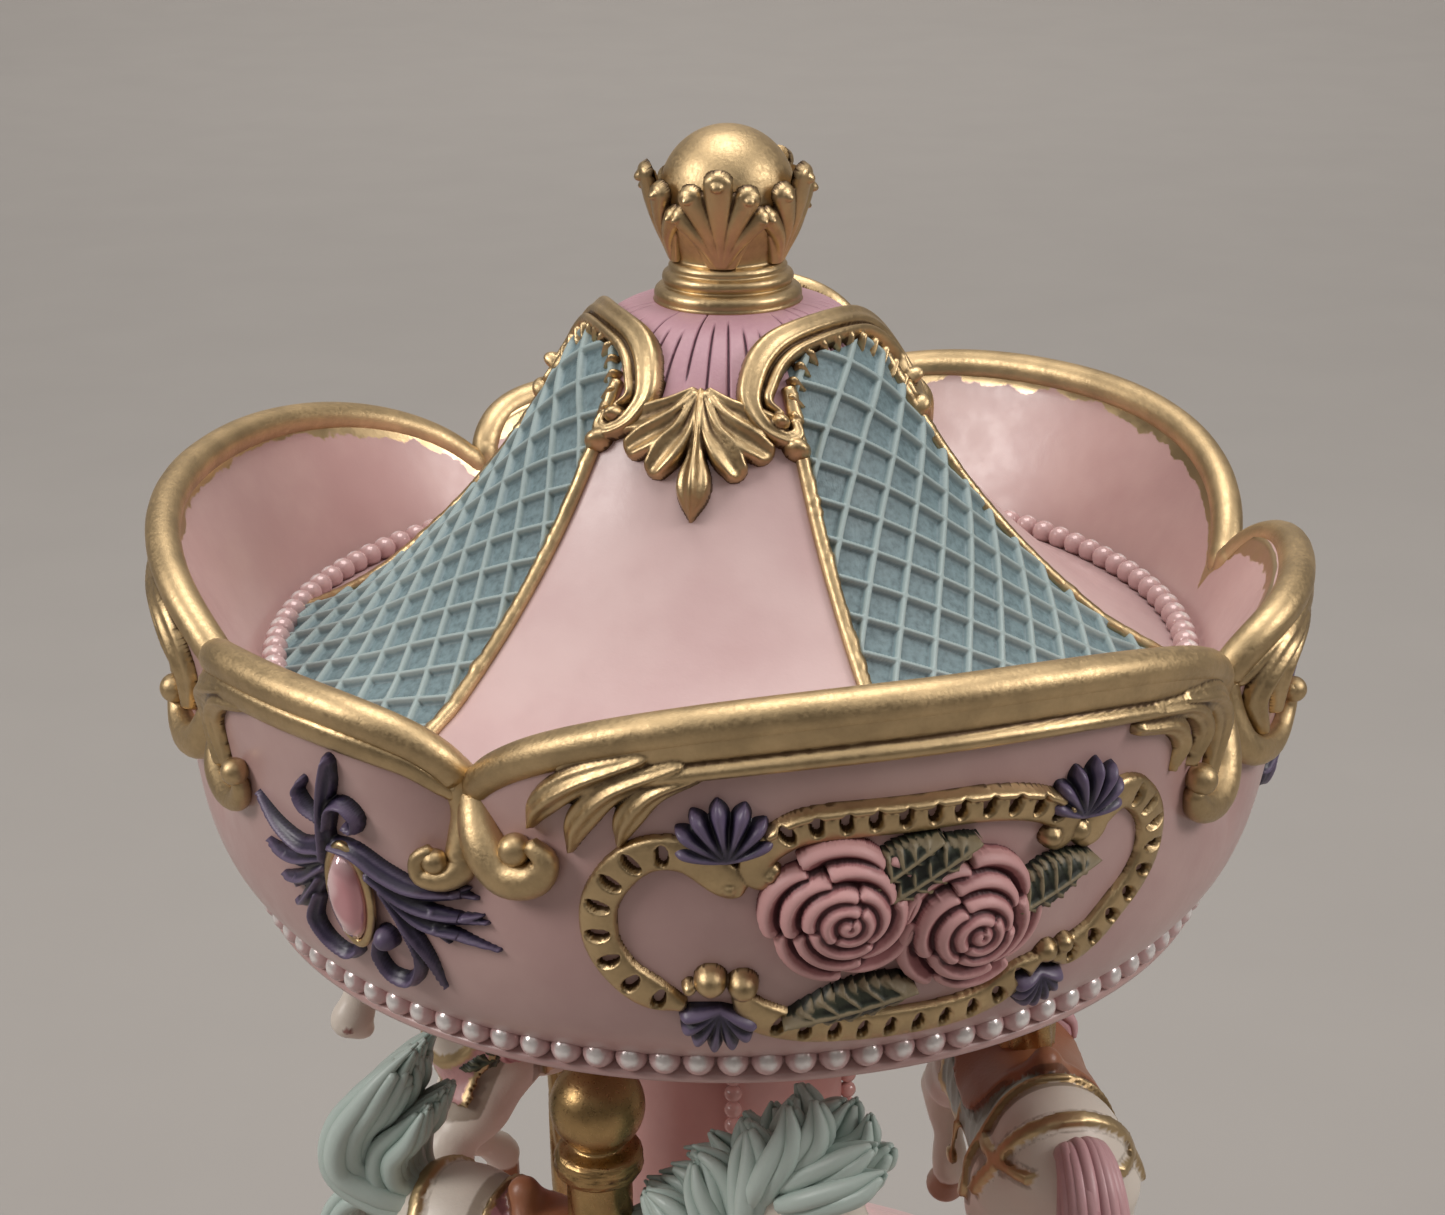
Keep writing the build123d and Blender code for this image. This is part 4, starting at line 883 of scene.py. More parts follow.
def rim_moulding():
    """The moulding under the large lobe's rim and the folds at both ends."""
    relief = Relief(104, 26, 0.24, centre=(3, 16))
    lobe = (LARGE_LOBE - CARTOUCHE_AZIMUTH) * MM_PER_DEGREE
    azimuth = LARGE_LOBE + np.linspace(-30, 33, 19)
    x = (azimuth - CARTOUCHE_AZIMUTH) * MM_PER_DEGREE
    y = rim_height(azimuth) - CARTOUCHE_Z
    ease = 1 - 0.35 * ((x - lobe) / 48) ** 2
    relief.stroke(np.stack([x, y - 1.4, 2.6 * ease, 0.9 * ease], -1), edge=0.3)
    relief.stroke(np.stack([x, y - 4.7, 1.25 * ease, 1.9 * ease], -1))
    folds = [
        [(-24, 21.6, 1.0, 1.6), (-28.6, 19.4, 1.6, 2.2), (-31.6, 15.6, 1.7, 2.2), (-32.8, 12, 0.5, 1.2)],
        [(-26, 22.8, 1.0, 1.6), (-33, 19.4, 1.7, 2.4), (-37.2, 14.6, 1.8, 2.4), (-38.8, 10.2, 0.5, 1.2)],
        [(-30, 23.4, 1.0, 1.6), (-37, 20.0, 1.8, 2.5), (-41.6, 16.2, 1.8, 2.6), (-43.6, 12.8, 0.7, 1.6)],
        [(30, 20.2, 1.2, 1.9), (36.2, 18.6, 1.5, 2.2), (39.2, 15.2, 1.3, 2.0), (38.6, 11.4, 0.4, 1.0)],
        [(32, 21.8, 1.2, 1.8), (40, 19.8, 1.7, 2.3), (44.2, 15.4, 1.6, 2.3), (43.2, 10.6, 0.6, 1.4)],
        [(38, 21.6, 1.2, 1.8), (46, 19.0, 2.0, 2.5), (50.2, 13.6, 2.0, 2.6), (49.2, 7.4, 1.2, 2.0)],
    ]
    for rows in folds:
        relief.stroke(rows, grooves=2, cut=0.25)
    return relief


def small_rim_moulding():
    """The moulding under the small lobe's rim and the folds at its left end."""
    relief = Relief(60, 30, 0.24, centre=(-8, 13))
    count = 13
    azimuth = SMALL_LOBE + np.linspace(-17, 17.6, count)
    x = (azimuth - FLOURISH_AZIMUTH) * MM_PER_DEGREE
    y = rim_height(azimuth) - FLOURISH_Z
    ends = 1 - 0.5 * np.linspace(-1, 1, count) ** 4
    relief.stroke(np.stack([x, y - 2.6, 1.7 * ends, 1.3 * ends], -1), edge=0.35)
    for rows in ([(-14, 21, 1.0, 1.4), (-20, 19.6, 1.6, 2.0), (-23.6, 15.6, 1.7, 2.2), (-22.6, 10, 1.0, 1.6)],
                 [(-18, 22, 1.2, 1.6), (-25, 19.4, 2.0, 2.4), (-28.8, 14.2, 2.0, 2.5),
                  (-26.6, 8.4, 1.2, 1.8)]):
        relief.stroke(rows, grooves=2, cut=0.22)
    return relief


def pearls(radius, height, size, count, rise):
    """A closed string of pearls, with how far the surface faces outwards, which places the painted highlight;
    rise tilts that direction up.
    """
    azimuth = np.arange(count) * 360 / count
    centres = radial(azimuth, radius, height)
    points, faces, _ = balls(centres, size, 8)
    outwards = unit(radial(azimuth, math.cos(rise), math.sin(rise)))
    each = len(points) // count
    facing = ((points - np.repeat(centres, each, 0)) / size * np.repeat(outwards, each, 0)).sum(1)
    return points, faces, {"relief": facing}


write_piece("canopy_wall", band_shape(), BAND_ENAMEL, "carousel", ["canopy_band"])
rim_shapes = [wall_tube(rim_line, rim_patch) for rim_line, rim_patch in rim_lines()]
rim_shapes.append(wall_balls(VOLUTE_BALLS, band_patch(CARTOUCHE_AZIMUTH, CARTOUCHE_Z)))
rim_shapes.append(wall_balls(SMALL_VOLUTE_BALLS, band_patch(FLOURISH_AZIMUTH, FLOURISH_Z)))
write_piece("canopy_rim_tube", thrice(joined(rim_shapes)), RIM_GILT, "carousel", ["canopy_rim"])
mouldings = joined([rim_moulding().shape(band_patch(CARTOUCHE_AZIMUTH, CARTOUCHE_Z)),
                    small_rim_moulding().shape(band_patch(FLOURISH_AZIMUTH, FLOURISH_Z))])
write_piece("canopy_rim_folds", thrice(mouldings), GILT, "carousel", ["rim_scrolls"])
write_piece("lower_pearl_string", pearls(PEARL_RING_R + 0.1, RING_Z + 0.5, 2.05, 105, 0.25), PEARL,
            "carousel", ["lower_pearls"])
write_piece("upper_pearl_string", pearls(66.3, RING_Z + 30.2, 1.85, 112, 1.0), PEARL, "carousel",
            ["upper_pearls"])
applied_ornaments("band", "carousel", band_patch(CARTOUCHE_AZIMUTH, CARTOUCHE_Z),
                  band_patch(FLOURISH_AZIMUTH, FLOURISH_Z))


# ---- Roof ----

def roof_shape():
    """The tent's cloth: plain panels that hollow slightly between the ribs."""
    rows, columns = 90, 360
    azimuth = np.linspace(0, 360, columns, endpoint=False)
    along = np.linspace(0, roof_along(69), rows)
    from_pink = np.abs((azimuth - PINK_PANEL + 60) % 120 - 60)
    lift = np.where(from_pink < 31, -0.35 * np.cos(from_pink / 31 * np.pi / 2), 0)
    points = on_roof(azimuth[None], along[:, None], lift[None] + 0 * along[:, None]).reshape(-1, 3)
    return points, [grid_faces(rows, columns, True)], {}


def lattice_shape():
    """Square recessed cells between raised bars, laid at 45 degrees on each blue panel."""
    low, high = roof_along(29.2), roof_along(75.3)
    cells = 290
    azimuth = np.linspace(-BLUE_HALF, BLUE_HALF, cells)
    along = np.linspace(low, high, cells)
    across, up = np.meshgrid(azimuth, along)
    distance = 86 - up                                  # from the tip of the cone, with the panel laid flat
    angle = np.radians(across) * 0.74
    u, v = distance * np.sin(angle), distance * np.cos(angle)
    pitch = 5.0
    bars = []
    for along_bar in ((u + v) / math.sqrt(2), (u - v) / math.sqrt(2)):
        offset = np.abs((along_bar / pitch + 0.5) % 1 - 0.5) * pitch
        bars.append(1 - smoothstep(0.22, 0.6, offset))
    height = np.maximum(bars[0], bars[1])
    reach = np.interp(up, ROOF_LENGTH, ROOF_OUTLINE[:, 0])
    edge = smoothstep(0, 1.2, (BLUE_HALF - np.abs(across)) * np.radians(1) * reach)
    random = np.random.default_rng(5)
    wobble = random.normal(0, 0.012, height.shape)
    lift = (0.15 + height + wobble) * edge - 0.3 * (1 - edge)
    points = on_roof(BLUE_PANEL + across, up, lift).reshape(-1, 3)
    relief = (height - 0.08).ravel()
    return points, [grid_faces(cells, cells)], {"relief": relief}


def rib_shapes():
    """Thin gold ribs between the panels, ragged on the side of the lattice."""
    shapes = []
    count = 120
    random = np.random.default_rng(11)
    for side in (-1, 1):
        along = np.linspace(0.5, roof_along(72), count)
        wobble = np.convolve(random.normal(0, 0.5, count), np.ones(3) / 3, "same")
        radius = 1.0 + 0.3 * np.abs(wobble)
        inwards = side * -0.25 * np.abs(wobble)
        reach = np.interp(along, ROOF_LENGTH, ROOF_OUTLINE[:, 0])
        azimuth = BLUE_PANEL + side * BLUE_HALF + np.degrees(inwards / reach)
        centre = on_roof(azimuth, along, 0.35)
        above = on_roof(azimuth, along, 1.35)
        shapes.append(tube(np.concatenate([centre, radius[:, None]], 1), 8, unit(above - centre)))
    return joined(shapes)


def arch_relief():
    """The arch over a blue panel: two ridges that end in volutes with balls, and small teeth inside."""
    relief = Relief(46, 26, 0.2, centre=(0, 4))
    outer = [(12.6, -1.2, 0.7, 2.4), (13.0, -2.8, 1.0, 2.6), (14.9, -3.2, 1.3, 2.8), (16.8, -1.2, 1.4, 2.9),
             (17.2, 1.4, 1.5, 3.0), (16.0, 4.0, 1.5, 3.0), (13.0, 7.4, 1.55, 3.1), (9.0, 10.0, 1.6, 3.1),
             (4.6, 11.3, 1.6, 3.1), (0, 11.7, 1.6, 3.1)]
    inner = [(14.0, 0.2, 0.6, 2.0), (14.8, 1.8, 0.8, 2.2), (13.6, 3.6, 0.8, 2.2), (10.9, 6.3, 0.8, 2.2),
             (7.6, 8.2, 0.8, 2.2), (3.9, 9.1, 0.8, 2.2), (0, 9.4, 0.8, 2.2)]
    for rows in (outer, inner):
        mirrored = [(-x, y, half, height) for x, y, half, height in reversed(rows[:-1])]
        relief.stroke(rows + mirrored, grooves=int(rows is outer), cut=0.3)
    for side in (-1, 1):
        relief.dome(side * 14.6, -1.0, 1.3, 3.5)
        relief.dome(side * 13.8, -4.8, 1.8, 2.7)
    for share in np.linspace(-0.9, 0.9, 13):
        a = math.pi / 2 * (1 - share)
        x, y = 12.4 * math.cos(a), -2 + 10.8 * math.sin(a)
        relief.stroke([(x, y, 0.75, 1.8), (x * 0.88, y - 1.3, 0.2, 0.6)])
    return relief


def acanthus_relief():
    """A shell of leaves at the head of a pink panel: a pointed drop and three lobes to each side."""
    relief = Relief(30, 26, 0.18, centre=(0, -4))
    relief.stroke([(0, 3.4, 0.6, 1.8), (0, -2, 1.0, 2.6), (0, -5.6, 1.3, 3.0), (0, -8.4, 2.2, 3.5),
                   (0, -10.4, 2.1, 3.2), (0, -13.8, 0.3, 1.2)], grooves=2, cut=0.26)
    for side in (-1, 1):
        for rows in ([(0.6, 3, 0.7, 1.8), (1.7, -1.4, 1.5, 2.8), (3.6, -4.6, 2.2, 3.3),
                      (5.2, -7.0, 1.7, 2.5)],
                     [(0.8, 3.2, 0.7, 1.8), (3.0, -0.4, 1.5, 2.7), (6.0, -3.0, 2.2, 3.2),
                      (8.6, -4.8, 1.7, 2.4)],
                     [(1.0, 3.4, 0.7, 1.8), (3.7, 1.2, 1.4, 2.6), (7.1, -0.6, 1.9, 3.0),
                      (10.4, -1.8, 1.5, 2.3)]):
            relief.stroke([(side * x, y, half, height) for x, y, half, height in rows], grooves=1, cut=0.5,
                          edge=0.4)
    return relief


def collar_shape():
    """The grooved mauve collar under the finial."""
    outline = smooth_line([(24.5, RING_Z + 68.0), (23.8, RING_Z + 69.2), (20.8, RING_Z + 73.6),
                           (17.6, RING_Z + 76.8), (14, RING_Z + 78.9), (8.8, RING_Z + 79.9)], 0.6)
    grooves, columns = 46, 46 * 16
    random = np.random.default_rng(2)
    azimuth = np.linspace(0, 360, columns, endpoint=False)
    phase = np.abs((azimuth * grooves / 360) % 1 - 0.5) * 2
    cut = smoothstep(0.80, 1.0, phase)
    rows = len(outline)
    up = np.linspace(0, 1, rows)[:, None]
    own = ((azimuth * grooves / 360 + 0.5).astype(int) % grooves)[None]
    first, last = random.uniform(-0.2, 0.45, grooves)[own], random.uniform(0.7, 1.0, grooves)[own]
    cut = cut[None] * smoothstep(first, first + 0.15, up) * smoothstep(last, last - 0.12, up)
    slope = unit(np.gradient(outline, axis=0))
    depth = 0.1 + 0.75 * np.sin(np.linspace(0.15, 1, rows) * np.pi * 0.8)
    lift = -depth[:, None] * cut
    points = radial(azimuth[None], outline[:, :1] + lift * slope[:, 1:2],
                    outline[:, 1:2] - lift * slope[:, :1])
    relief = (0.25 - 1.2 * cut).ravel()
    return points.reshape(-1, 3), [grid_faces(rows, columns, True)], {"relief": np.clip(relief, -1, 1)}


def finial_cup_shape():
    """Two rings, a bowl, and five palmettes that stand up round the ball."""
    z = RING_Z
    foot = [(2, z + 79.4), (9.7, z + 79.4), (10.3, z + 80.2), (10.2, z + 81.2), (9.5, z + 81.8),
            (8.9, z + 82.0), (9.2, z + 82.7), (9.0, z + 83.5), (8.2, z + 84.0), (8.3, z + 84.5),
            (7.9, z + 85.1), (7.3, z + 85.5), (7.5, z + 86.6), (8.4, z + 88.6), (9.3, z + 90.6),
            (9.8, z + 92.0), (9.5, z + 92.4), (8.8, z + 91.4), (6, z + 87.6), (2, z + 86.5)]
    bowl = lathe(smooth_line(foot, 0.3), 120)
    shapes = [(bowl[0], bowl[1], {"relief": np.where(bowl[0][:, 2] > z + 85.8, -0.1, 0.45)})]
    profile = np.array([(7.4, 85.6), (8.0, 87.4), (8.9, 89.6), (9.8, 92.0), (10.5, 94.4), (11.0, 96.8),
                        (11.6, 99.2)])
    length = np.concatenate([[0], np.cumsum(np.linalg.norm(np.diff(profile, axis=0), axis=1))])
    relief = Relief(18, 18, 0.15, centre=(0, 6.5))
    for x, y, half in ((0, 12.4, 1.8), (-3.6, 10.4, 1.6), (3.6, 10.4, 1.6), (-5.6, 7.4, 1.4),
                       (5.6, 7.4, 1.4)):
        relief.stroke([(x * 0.12, 0.4, 0.7, 0.9), (x * 0.5, y * 0.55, half * 0.75, 1.2), (x, y, half, 1.3)],
                      edge=0.4)
        relief.dome(x, y + 0.2, half * 0.55, 1.9)
    relief.stroke([(0, 0.2, 2.4, 0.8), (0, 6.2, 5.2, 0.5)], edge=0.2)
    palmettes, bowl_radius = 5, 9.8
    for palmette in range(palmettes):
        azimuth = PINK_PANEL + 4 + palmette * 360 / palmettes

        def place(x, y, lift, azimuth=azimuth):
            radius, height = np.interp(y, length, profile[:, 0]), np.interp(y, length, profile[:, 1])
            return radial(azimuth + np.degrees(x / bowl_radius), radius + lift * 0.93,
                          z + height - lift * 0.35)
        front = relief.shape(place, 0.7)
        back = relief.shape(lambda x, y, lift: place(x, y, -0.6 + 0 * lift), 0.7)
        shapes += [front, with_relief((back[0], [f[:, ::-1] for f in back[1]]), 0.1)]
    return joined(shapes)


write_piece("tent_roof", roof_shape(), ENAMEL, "carousel", ["roof"])
write_piece("lattice", thrice(lattice_shape()), LATTICE, "carousel", ["lattice_panels"])
write_piece("tent_ribs", thrice(with_relief(rib_shapes())), GILT, "carousel", ["roof_ribs"])
write_piece("tent_arches", ornament(arch_relief(), roof_patch(BLUE_PANEL, roof_along(69))), GILT, "carousel",
            ["roof_arches"])
write_piece("acanthus_drops", ornament(acanthus_relief(), roof_patch(PINK_PANEL + 1.3, roof_along(69))), GILT,
            "carousel", ["acanthus_leaves"])
write_piece("grooved_collar", collar_shape(), MAUVE, "carousel", ["roof_collar"])
write_piece("finial_palmettes", finial_cup_shape(), GILT, "carousel", ["finial_cup"])


# ---- Horses ----

class Clay:
    """A solid modelled from rounded limbs that melt together, on a grid, in millimetres."""

    def __init__(self, low, high, step):
        self.low, self.step = np.array(low, float), step
        axes = [np.arange(a, b, step) for a, b in zip(low, high)]
        self.p = np.stack(np.meshgrid(*axes, indexing="ij"), -1).astype(np.float32)
        self.parts = {}

    def add(self, part, distance, melt=0.0):
        """Join a volume to a part; melt rounds the seam between them."""
        old = self.parts.get(part)
        if old is None:
            self.parts[part] = distance
        elif melt:
            share = np.clip(0.5 + 0.5 * (distance - old) / melt, 0, 1)
            self.parts[part] = distance + (old - distance) * share - melt * share * (1 - share)
        else:
            self.parts[part] = np.minimum(old, distance)

    def limb(self, part, rows, melt, flat=1.0):
        """A chain of tapering limbs through rows of (forward, sideways, up, radius)."""
        rows = np.asarray(rows, np.float32)
        for a, b in zip(rows, rows[1:]):
            along = b[:3] - a[:3]
            offset = self.p - a[:3]
            t = np.clip(offset @ along / (along @ along), 0, 1)
            offset = offset - t[..., None] * along
            offset[..., 1] /= flat
            self.add(part, np.sqrt((offset**2).sum(-1)) - (a[3] + t * (b[3] - a[3])), melt)

    def ball(self, part, centre, radii, melt):
        """An ellipsoid."""
        radii = np.asarray(radii, np.float32)
        offset = (self.p - np.asarray(centre, np.float32)) / radii
        self.add(part, (np.sqrt((offset**2).sum(-1)) - 1) * radii.min(), melt)

    def cover(self, part, under, thickness, region):
        """A layer of cloth or leather over a part; region is a distance, negative inside."""
        self.add(part, np.maximum(self.parts[under] - thickness, region))

    def sample(self, field, points):
        place = (points - self.low) / self.step
        cell = np.clip(np.floor(place).astype(int), 0, np.array(field.shape) - 2)
        t = np.clip(place - cell, 0, 1)
        total = 0
        for i in (0, 1):
            for j in (0, 1):
                for k in (0, 1):
                    share = abs(1 - i - t[:, 0]) * abs(1 - j - t[:, 1]) * abs(1 - k - t[:, 2])
                    total = total + share * field[cell[:, 0] + i, cell[:, 1] + j, cell[:, 2] + k]
        return total

    def shape(self, colours, metal=()):
        """The skin as a shape, with each point's colour, gloss and how open its surroundings are."""
        field = np.minimum.reduce(list(self.parts.values()))
        inside = field < 0
        size = np.array(field.shape)
        total = np.zeros(size - 1, np.int8)
        corners = [(i, j, k) for i in (0, 1) for j in (0, 1) for k in (0, 1)]
        for i, j, k in corners:
            total += inside[i:size[0] - 1 + i, j:size[1] - 1 + j, k:size[2] - 1 + k]
        cells = np.argwhere((total > 0) & (total < 8))
        values = {c: field[tuple((cells + c).T)] for c in corners}
        where, count = np.zeros((len(cells), 3)), np.zeros((len(cells), 1))
        for a in corners:
            for axis in range(3):
                if a[axis] == 0:
                    b = tuple(1 if n == axis else v for n, v in enumerate(a))
                    first, second = values[a], values[b]
                    crossing = (first < 0) != (second < 0)
                    t = np.where(crossing, first / np.where(crossing, first - second, 1), 0)[:, None]
                    where += crossing[:, None] * (np.array(a) + t * (np.array(b) - np.array(a)))
                    count += crossing[:, None]
        points = self.low + (cells + where / count) * self.step
        index = np.full(size - 1, -1)
        index[tuple(cells.T)] = np.arange(len(cells))
        faces = []
        for axis in range(3):
            nxt = [0, 0, 0]
            nxt[axis] = 1
            head = inside[tuple(slice(0, size[n] - nxt[n]) for n in range(3))]
            tail = inside[tuple(slice(nxt[n], size[n]) for n in range(3))]
            u, v = [(axis + 1) % 3, (axis + 2) % 3]
            step_u, step_v = np.eye(3, dtype=int)[u], np.eye(3, dtype=int)[v]
            for edges, flip in ((np.argwhere(head & ~tail), False), (np.argwhere(~head & tail), True)):
                edges = edges[(edges[:, u] > 0) & (edges[:, v] > 0)]
                edges = edges[(edges < size - 1).all(1)]
                shifts = (0 * step_u, step_u, step_u + step_v, step_v)
                quad = [index[tuple((edges - shift).T)] for shift in shifts]
                faces.append(np.stack(quad[::-1] if flip else quad, -1))
        faces = np.concatenate(faces)
        slope = np.stack([self.sample(field, points + d) - self.sample(field, points - d)
                          for d in np.eye(3) * self.step], -1)
        reach = 2.4
        openness = self.sample(field, points + unit(slope) * reach) / reach
        names = list(self.parts)
        nearest = np.argmin([self.sample(self.parts[n], points) for n in names], 0)
        paint = np.array([colours[n] for n in names])[nearest]
        gloss = np.array([1.0 if n in metal else 0.0 for n in names])[nearest]
        # openness, which the horse paint turns into painted shade in the folds
        relief = np.clip((openness - 0.72) / 0.28, -1, 1)
        return points, [faces], {"relief": relief, "paint": paint, "metal": gloss}


CREAM = (0.74, 0.66, 0.58)
# Each hair colour has a lighter copy that is a painted highlight on the outer strands; the pale mint is also
# one horse's strap colour.
MINT, PALE_MINT_AND_HIGHLIGHT = (0.34, 0.435, 0.395), (0.52, 0.61, 0.57)
DUSTY, DUSTY_HIGHLIGHT = (0.40, 0.17, 0.20), (0.62, 0.36, 0.38)
LILAC, LILAC_HIGHLIGHT = (0.30, 0.24, 0.40), (0.46, 0.40, 0.54)
RUST, BLACK, BLUSH = (0.33, 0.13, 0.065), (0.02, 0.018, 0.018), (0.62, 0.33, 0.33)
HOOF = (0.36, 0.17, 0.09)


def horse_clay(colours, crest):
    """The body, harness and hooves. Forward, sideways (to the column) and up are the axes."""
    clay = Clay((-52, -17, -99), (53, 17, -12), 0.62)   # heights count down from the pearl string
    f, s, z = clay.p[..., 0], clay.p[..., 1], clay.p[..., 2]
    clay.limb("coat", [(-20, 0, -53, 10.6), (-6, 0, -56.5, 9.9), (6, 0, -57, 10.1), (15, 0, -54, 10.8)], 3,
              0.92)
    clay.ball("coat", (-23, 0, -51), (10.6, 9.9, 10.2), 3)
    clay.ball("coat", (19, 0, -54), (8.6, 8.4, 10.2), 3)
    clay.limb("coat", [(17, 0, -50, 9.2), (24, 0, -41, 7.6), (28.5, 0, -33, 6.0), (31, 0, -27, 5.2)], 4, 0.8)
    clay.ball("coat", (32.6, 0, -28.6), (5.6, 4.3, 5.6), 2)
    clay.limb("coat", [(32, 0, -26.8, 4.7), (37.6, 0, -35.5, 3.7), (42, 0, -43, 3.0)], 2, 0.8)
    clay.ball("coat", (42.6, 0, -44.2), (3.6, 3.1, 3.2), 1.5)
    clay.ball("coat", (41, 0, -46.6), (2.2, 2.2, 1.7), 0.8)
    for side in (-1, 1):
        clay.limb("coat", [(29.4, side * 2.5, -22.6, 1.7), (29.6, side * 3.3, -19.6, 1.5),
                           (30.2, side * 3.4, -16.2, 0.4)], 0.8)
        clay.ball("coat", (35.6, side * 3.5, -30.6), (2.1, 1.3, 1.7), 1.0)
        clay.ball("eye", (36.0, side * 4.35, -30.9), (1.25, 0.75, 1.0), 0)
        clay.ball("nostril", (44.4, side * 2.25, -44.6), (0.9, 0.75, 0.8), 0)
    legs = (
        [(17, 5, -60, 6.2), (23, 5.6, -66, 5.0), (30, 6, -72, 3.7), (28.5, 6, -76, 2.7), (25, 6, -83.5, 2.35),
         (24.6, 6, -86, 2.9)],
        [(15, -5, -62, 6.2), (19, -5.8, -71, 4.6), (22, -6, -77.5, 3.6), (18, -6, -80.5, 2.7),
         (12.6, -6, -85.5, 2.35), (11.8, -6, -87, 2.9)],
        [(-19, 5, -58, 8.2), (-15, 5.6, -65, 6.6), (-13.4, 6, -71, 4.3), (-20, 6, -77, 3.2),
         (-27, 6, -81.6, 2.6), (-31, 6, -85.6, 2.9)],
        [(-21, -5, -58, 8.2), (-20, -5.6, -66, 6.4), (-20.4, -6, -72, 4.2), (-27, -6, -76, 3.1),
         (-34, -6, -79, 2.6), (-38, -6, -83, 2.9)],
    )
    hooves = ([(25.4, 6, -88, 2.9), (27.6, 6, -91.2, 3.5)], [(11.8, -6, -89, 2.9), (12.4, -6, -92.4, 3.5)],
              [(-32.4, 6, -87.6, 2.9), (-35, 6, -91, 3.5)], [(-39, -6, -84.8, 2.9), (-42, -6, -88, 3.5)])
    for leg, hoof in zip(legs, hooves):
        clay.limb("coat", leg, 3)
        clay.limb("hoof", hoof, 0.5)
    if crest:
        clay.limb("mane", [(10.5, 0, -43, 2.4), (16, 0, -37, 2.9), (22, 0, -29.5, 3.0), (27, 0, -23.5, 2.9),
                           (31.5, 0, -21.6, 2.3), (34.5, 0, -24.6, 1.6)], 1.5, 0.8)
    low_edge = np.abs(f + 2) * 0.08 + np.sin((f + 2) * 0.62) * 0.7
    blanket = np.maximum(np.maximum(np.abs(f + 2) - 14.5, -63 + low_edge - z), -66 - z)
    clay.cover("fringe", "coat", 1.15 + 0.25 * np.sin(f * 4.2),
               np.maximum(blanket, np.abs(z + 63.2 - low_edge) - 1.5))
    clay.cover("trim", "coat", 1.35,
               np.maximum(blanket, -np.maximum(np.abs(f + 2) - 13.2, -60.4 + low_edge - z)))
    clay.cover("blanket", "coat", 1.05 + 0.12 * np.sin(f * 1.9 + s * 0.4), np.maximum(blanket, -0.3))
    clay.cover("saddle", "coat", 2.2,
               np.maximum(np.hypot((f + 1.5) / 1.15, (z + 46) / 0.95) - 8.2, -53.5 - z))
    clay.limb("saddle", [(-10.5, -4.2, -45.6, 1.6), (-12.2, 0, -41.0, 2.1), (-10.5, 4.2, -45.6, 1.6)], 1.2)
    clay.limb("saddle", [(7.4, -3, -46, 1.4), (8.6, 0, -42.4, 1.9), (7.4, 3, -46, 1.4)], 1.2)
    clay.limb("patch", [(-13.6, 0, -41.2, 1.0), (-13.8, 0, -43.6, 1.0)], 0)
    girth = np.abs(f * 0.9 + (z + 54) * 0.62 - 21.2)
    chest = np.maximum(8 - f, np.maximum(-63 - z, z + 42))
    clay.cover("trim", "coat", 1.3, np.maximum(np.abs(girth - 1.75) - 0.5, chest))
    clay.cover("strap", "coat", 1.0, np.maximum(girth - 1.9, chest))
    rump = np.abs(f + 24 + (z + 50) * 0.4) - 1.2
    clay.cover("trim", "coat", 0.95, np.maximum(rump, -58 - z))
    clay.cover("trim", "coat", 0.95,
               np.maximum(np.abs(z + 50.5 + (f + 20) * 0.12) - 0.9, np.maximum(f + 13, -31 - f)))
    off_head = np.where((f > 30) & (z > -50), -5, 4.0)
    nose = np.abs((f - 36.6) * 0.5 - (z + 34.6) * 0.86 - 2.0) - 0.8
    clay.cover("trim", "coat", 0.85, np.maximum(nose, off_head))
    brow = np.abs((f - 32) * 0.5 - (z + 26.4) * 0.86 - 1.4) - 0.65
    clay.cover("trim", "coat", 0.8, np.maximum(np.maximum(brow, off_head), -34 - z))
    cheek = np.abs((f - 34.6) * 0.86 + (z + 31) * 0.5 + 2.2) - 0.6
    cheek = np.maximum(cheek, np.maximum(-38.6 - z, z + 25))
    clay.cover("trim", "coat", 0.75, np.maximum(cheek, np.maximum(off_head, 2.4 - np.abs(s))))
    for side in (-1, 1):
        clay.ball("trim", (37.6, side * 3.4, -38.6), (1.3, 0.9, 1.3), 0)
        rein = [(37.6, side * 3.6, -38.6, 0.55), (30, side * 6.6, -41, 0.55), (22, side * 7.6, -44, 0.55),
                (12, side * 4.4, -45, 0.55), (8.4, side * 1.4, -41.6, 0.55)]
        clay.limb("rein", rein, 0)
        clay.limb("rein", [(-0.5, side * 9.6, -52, 0.5), (0, side * 11.2, -60, 0.5),
                           (0.6, side * 11.4, -65, 0.5)], 0)
        clay.ball("trim", (0.8, side * 11.5, -66.2), (2.1, 0.9, 1.5), 0)
    return clay.shape(colours, ("trim", "rein", "fringe"))


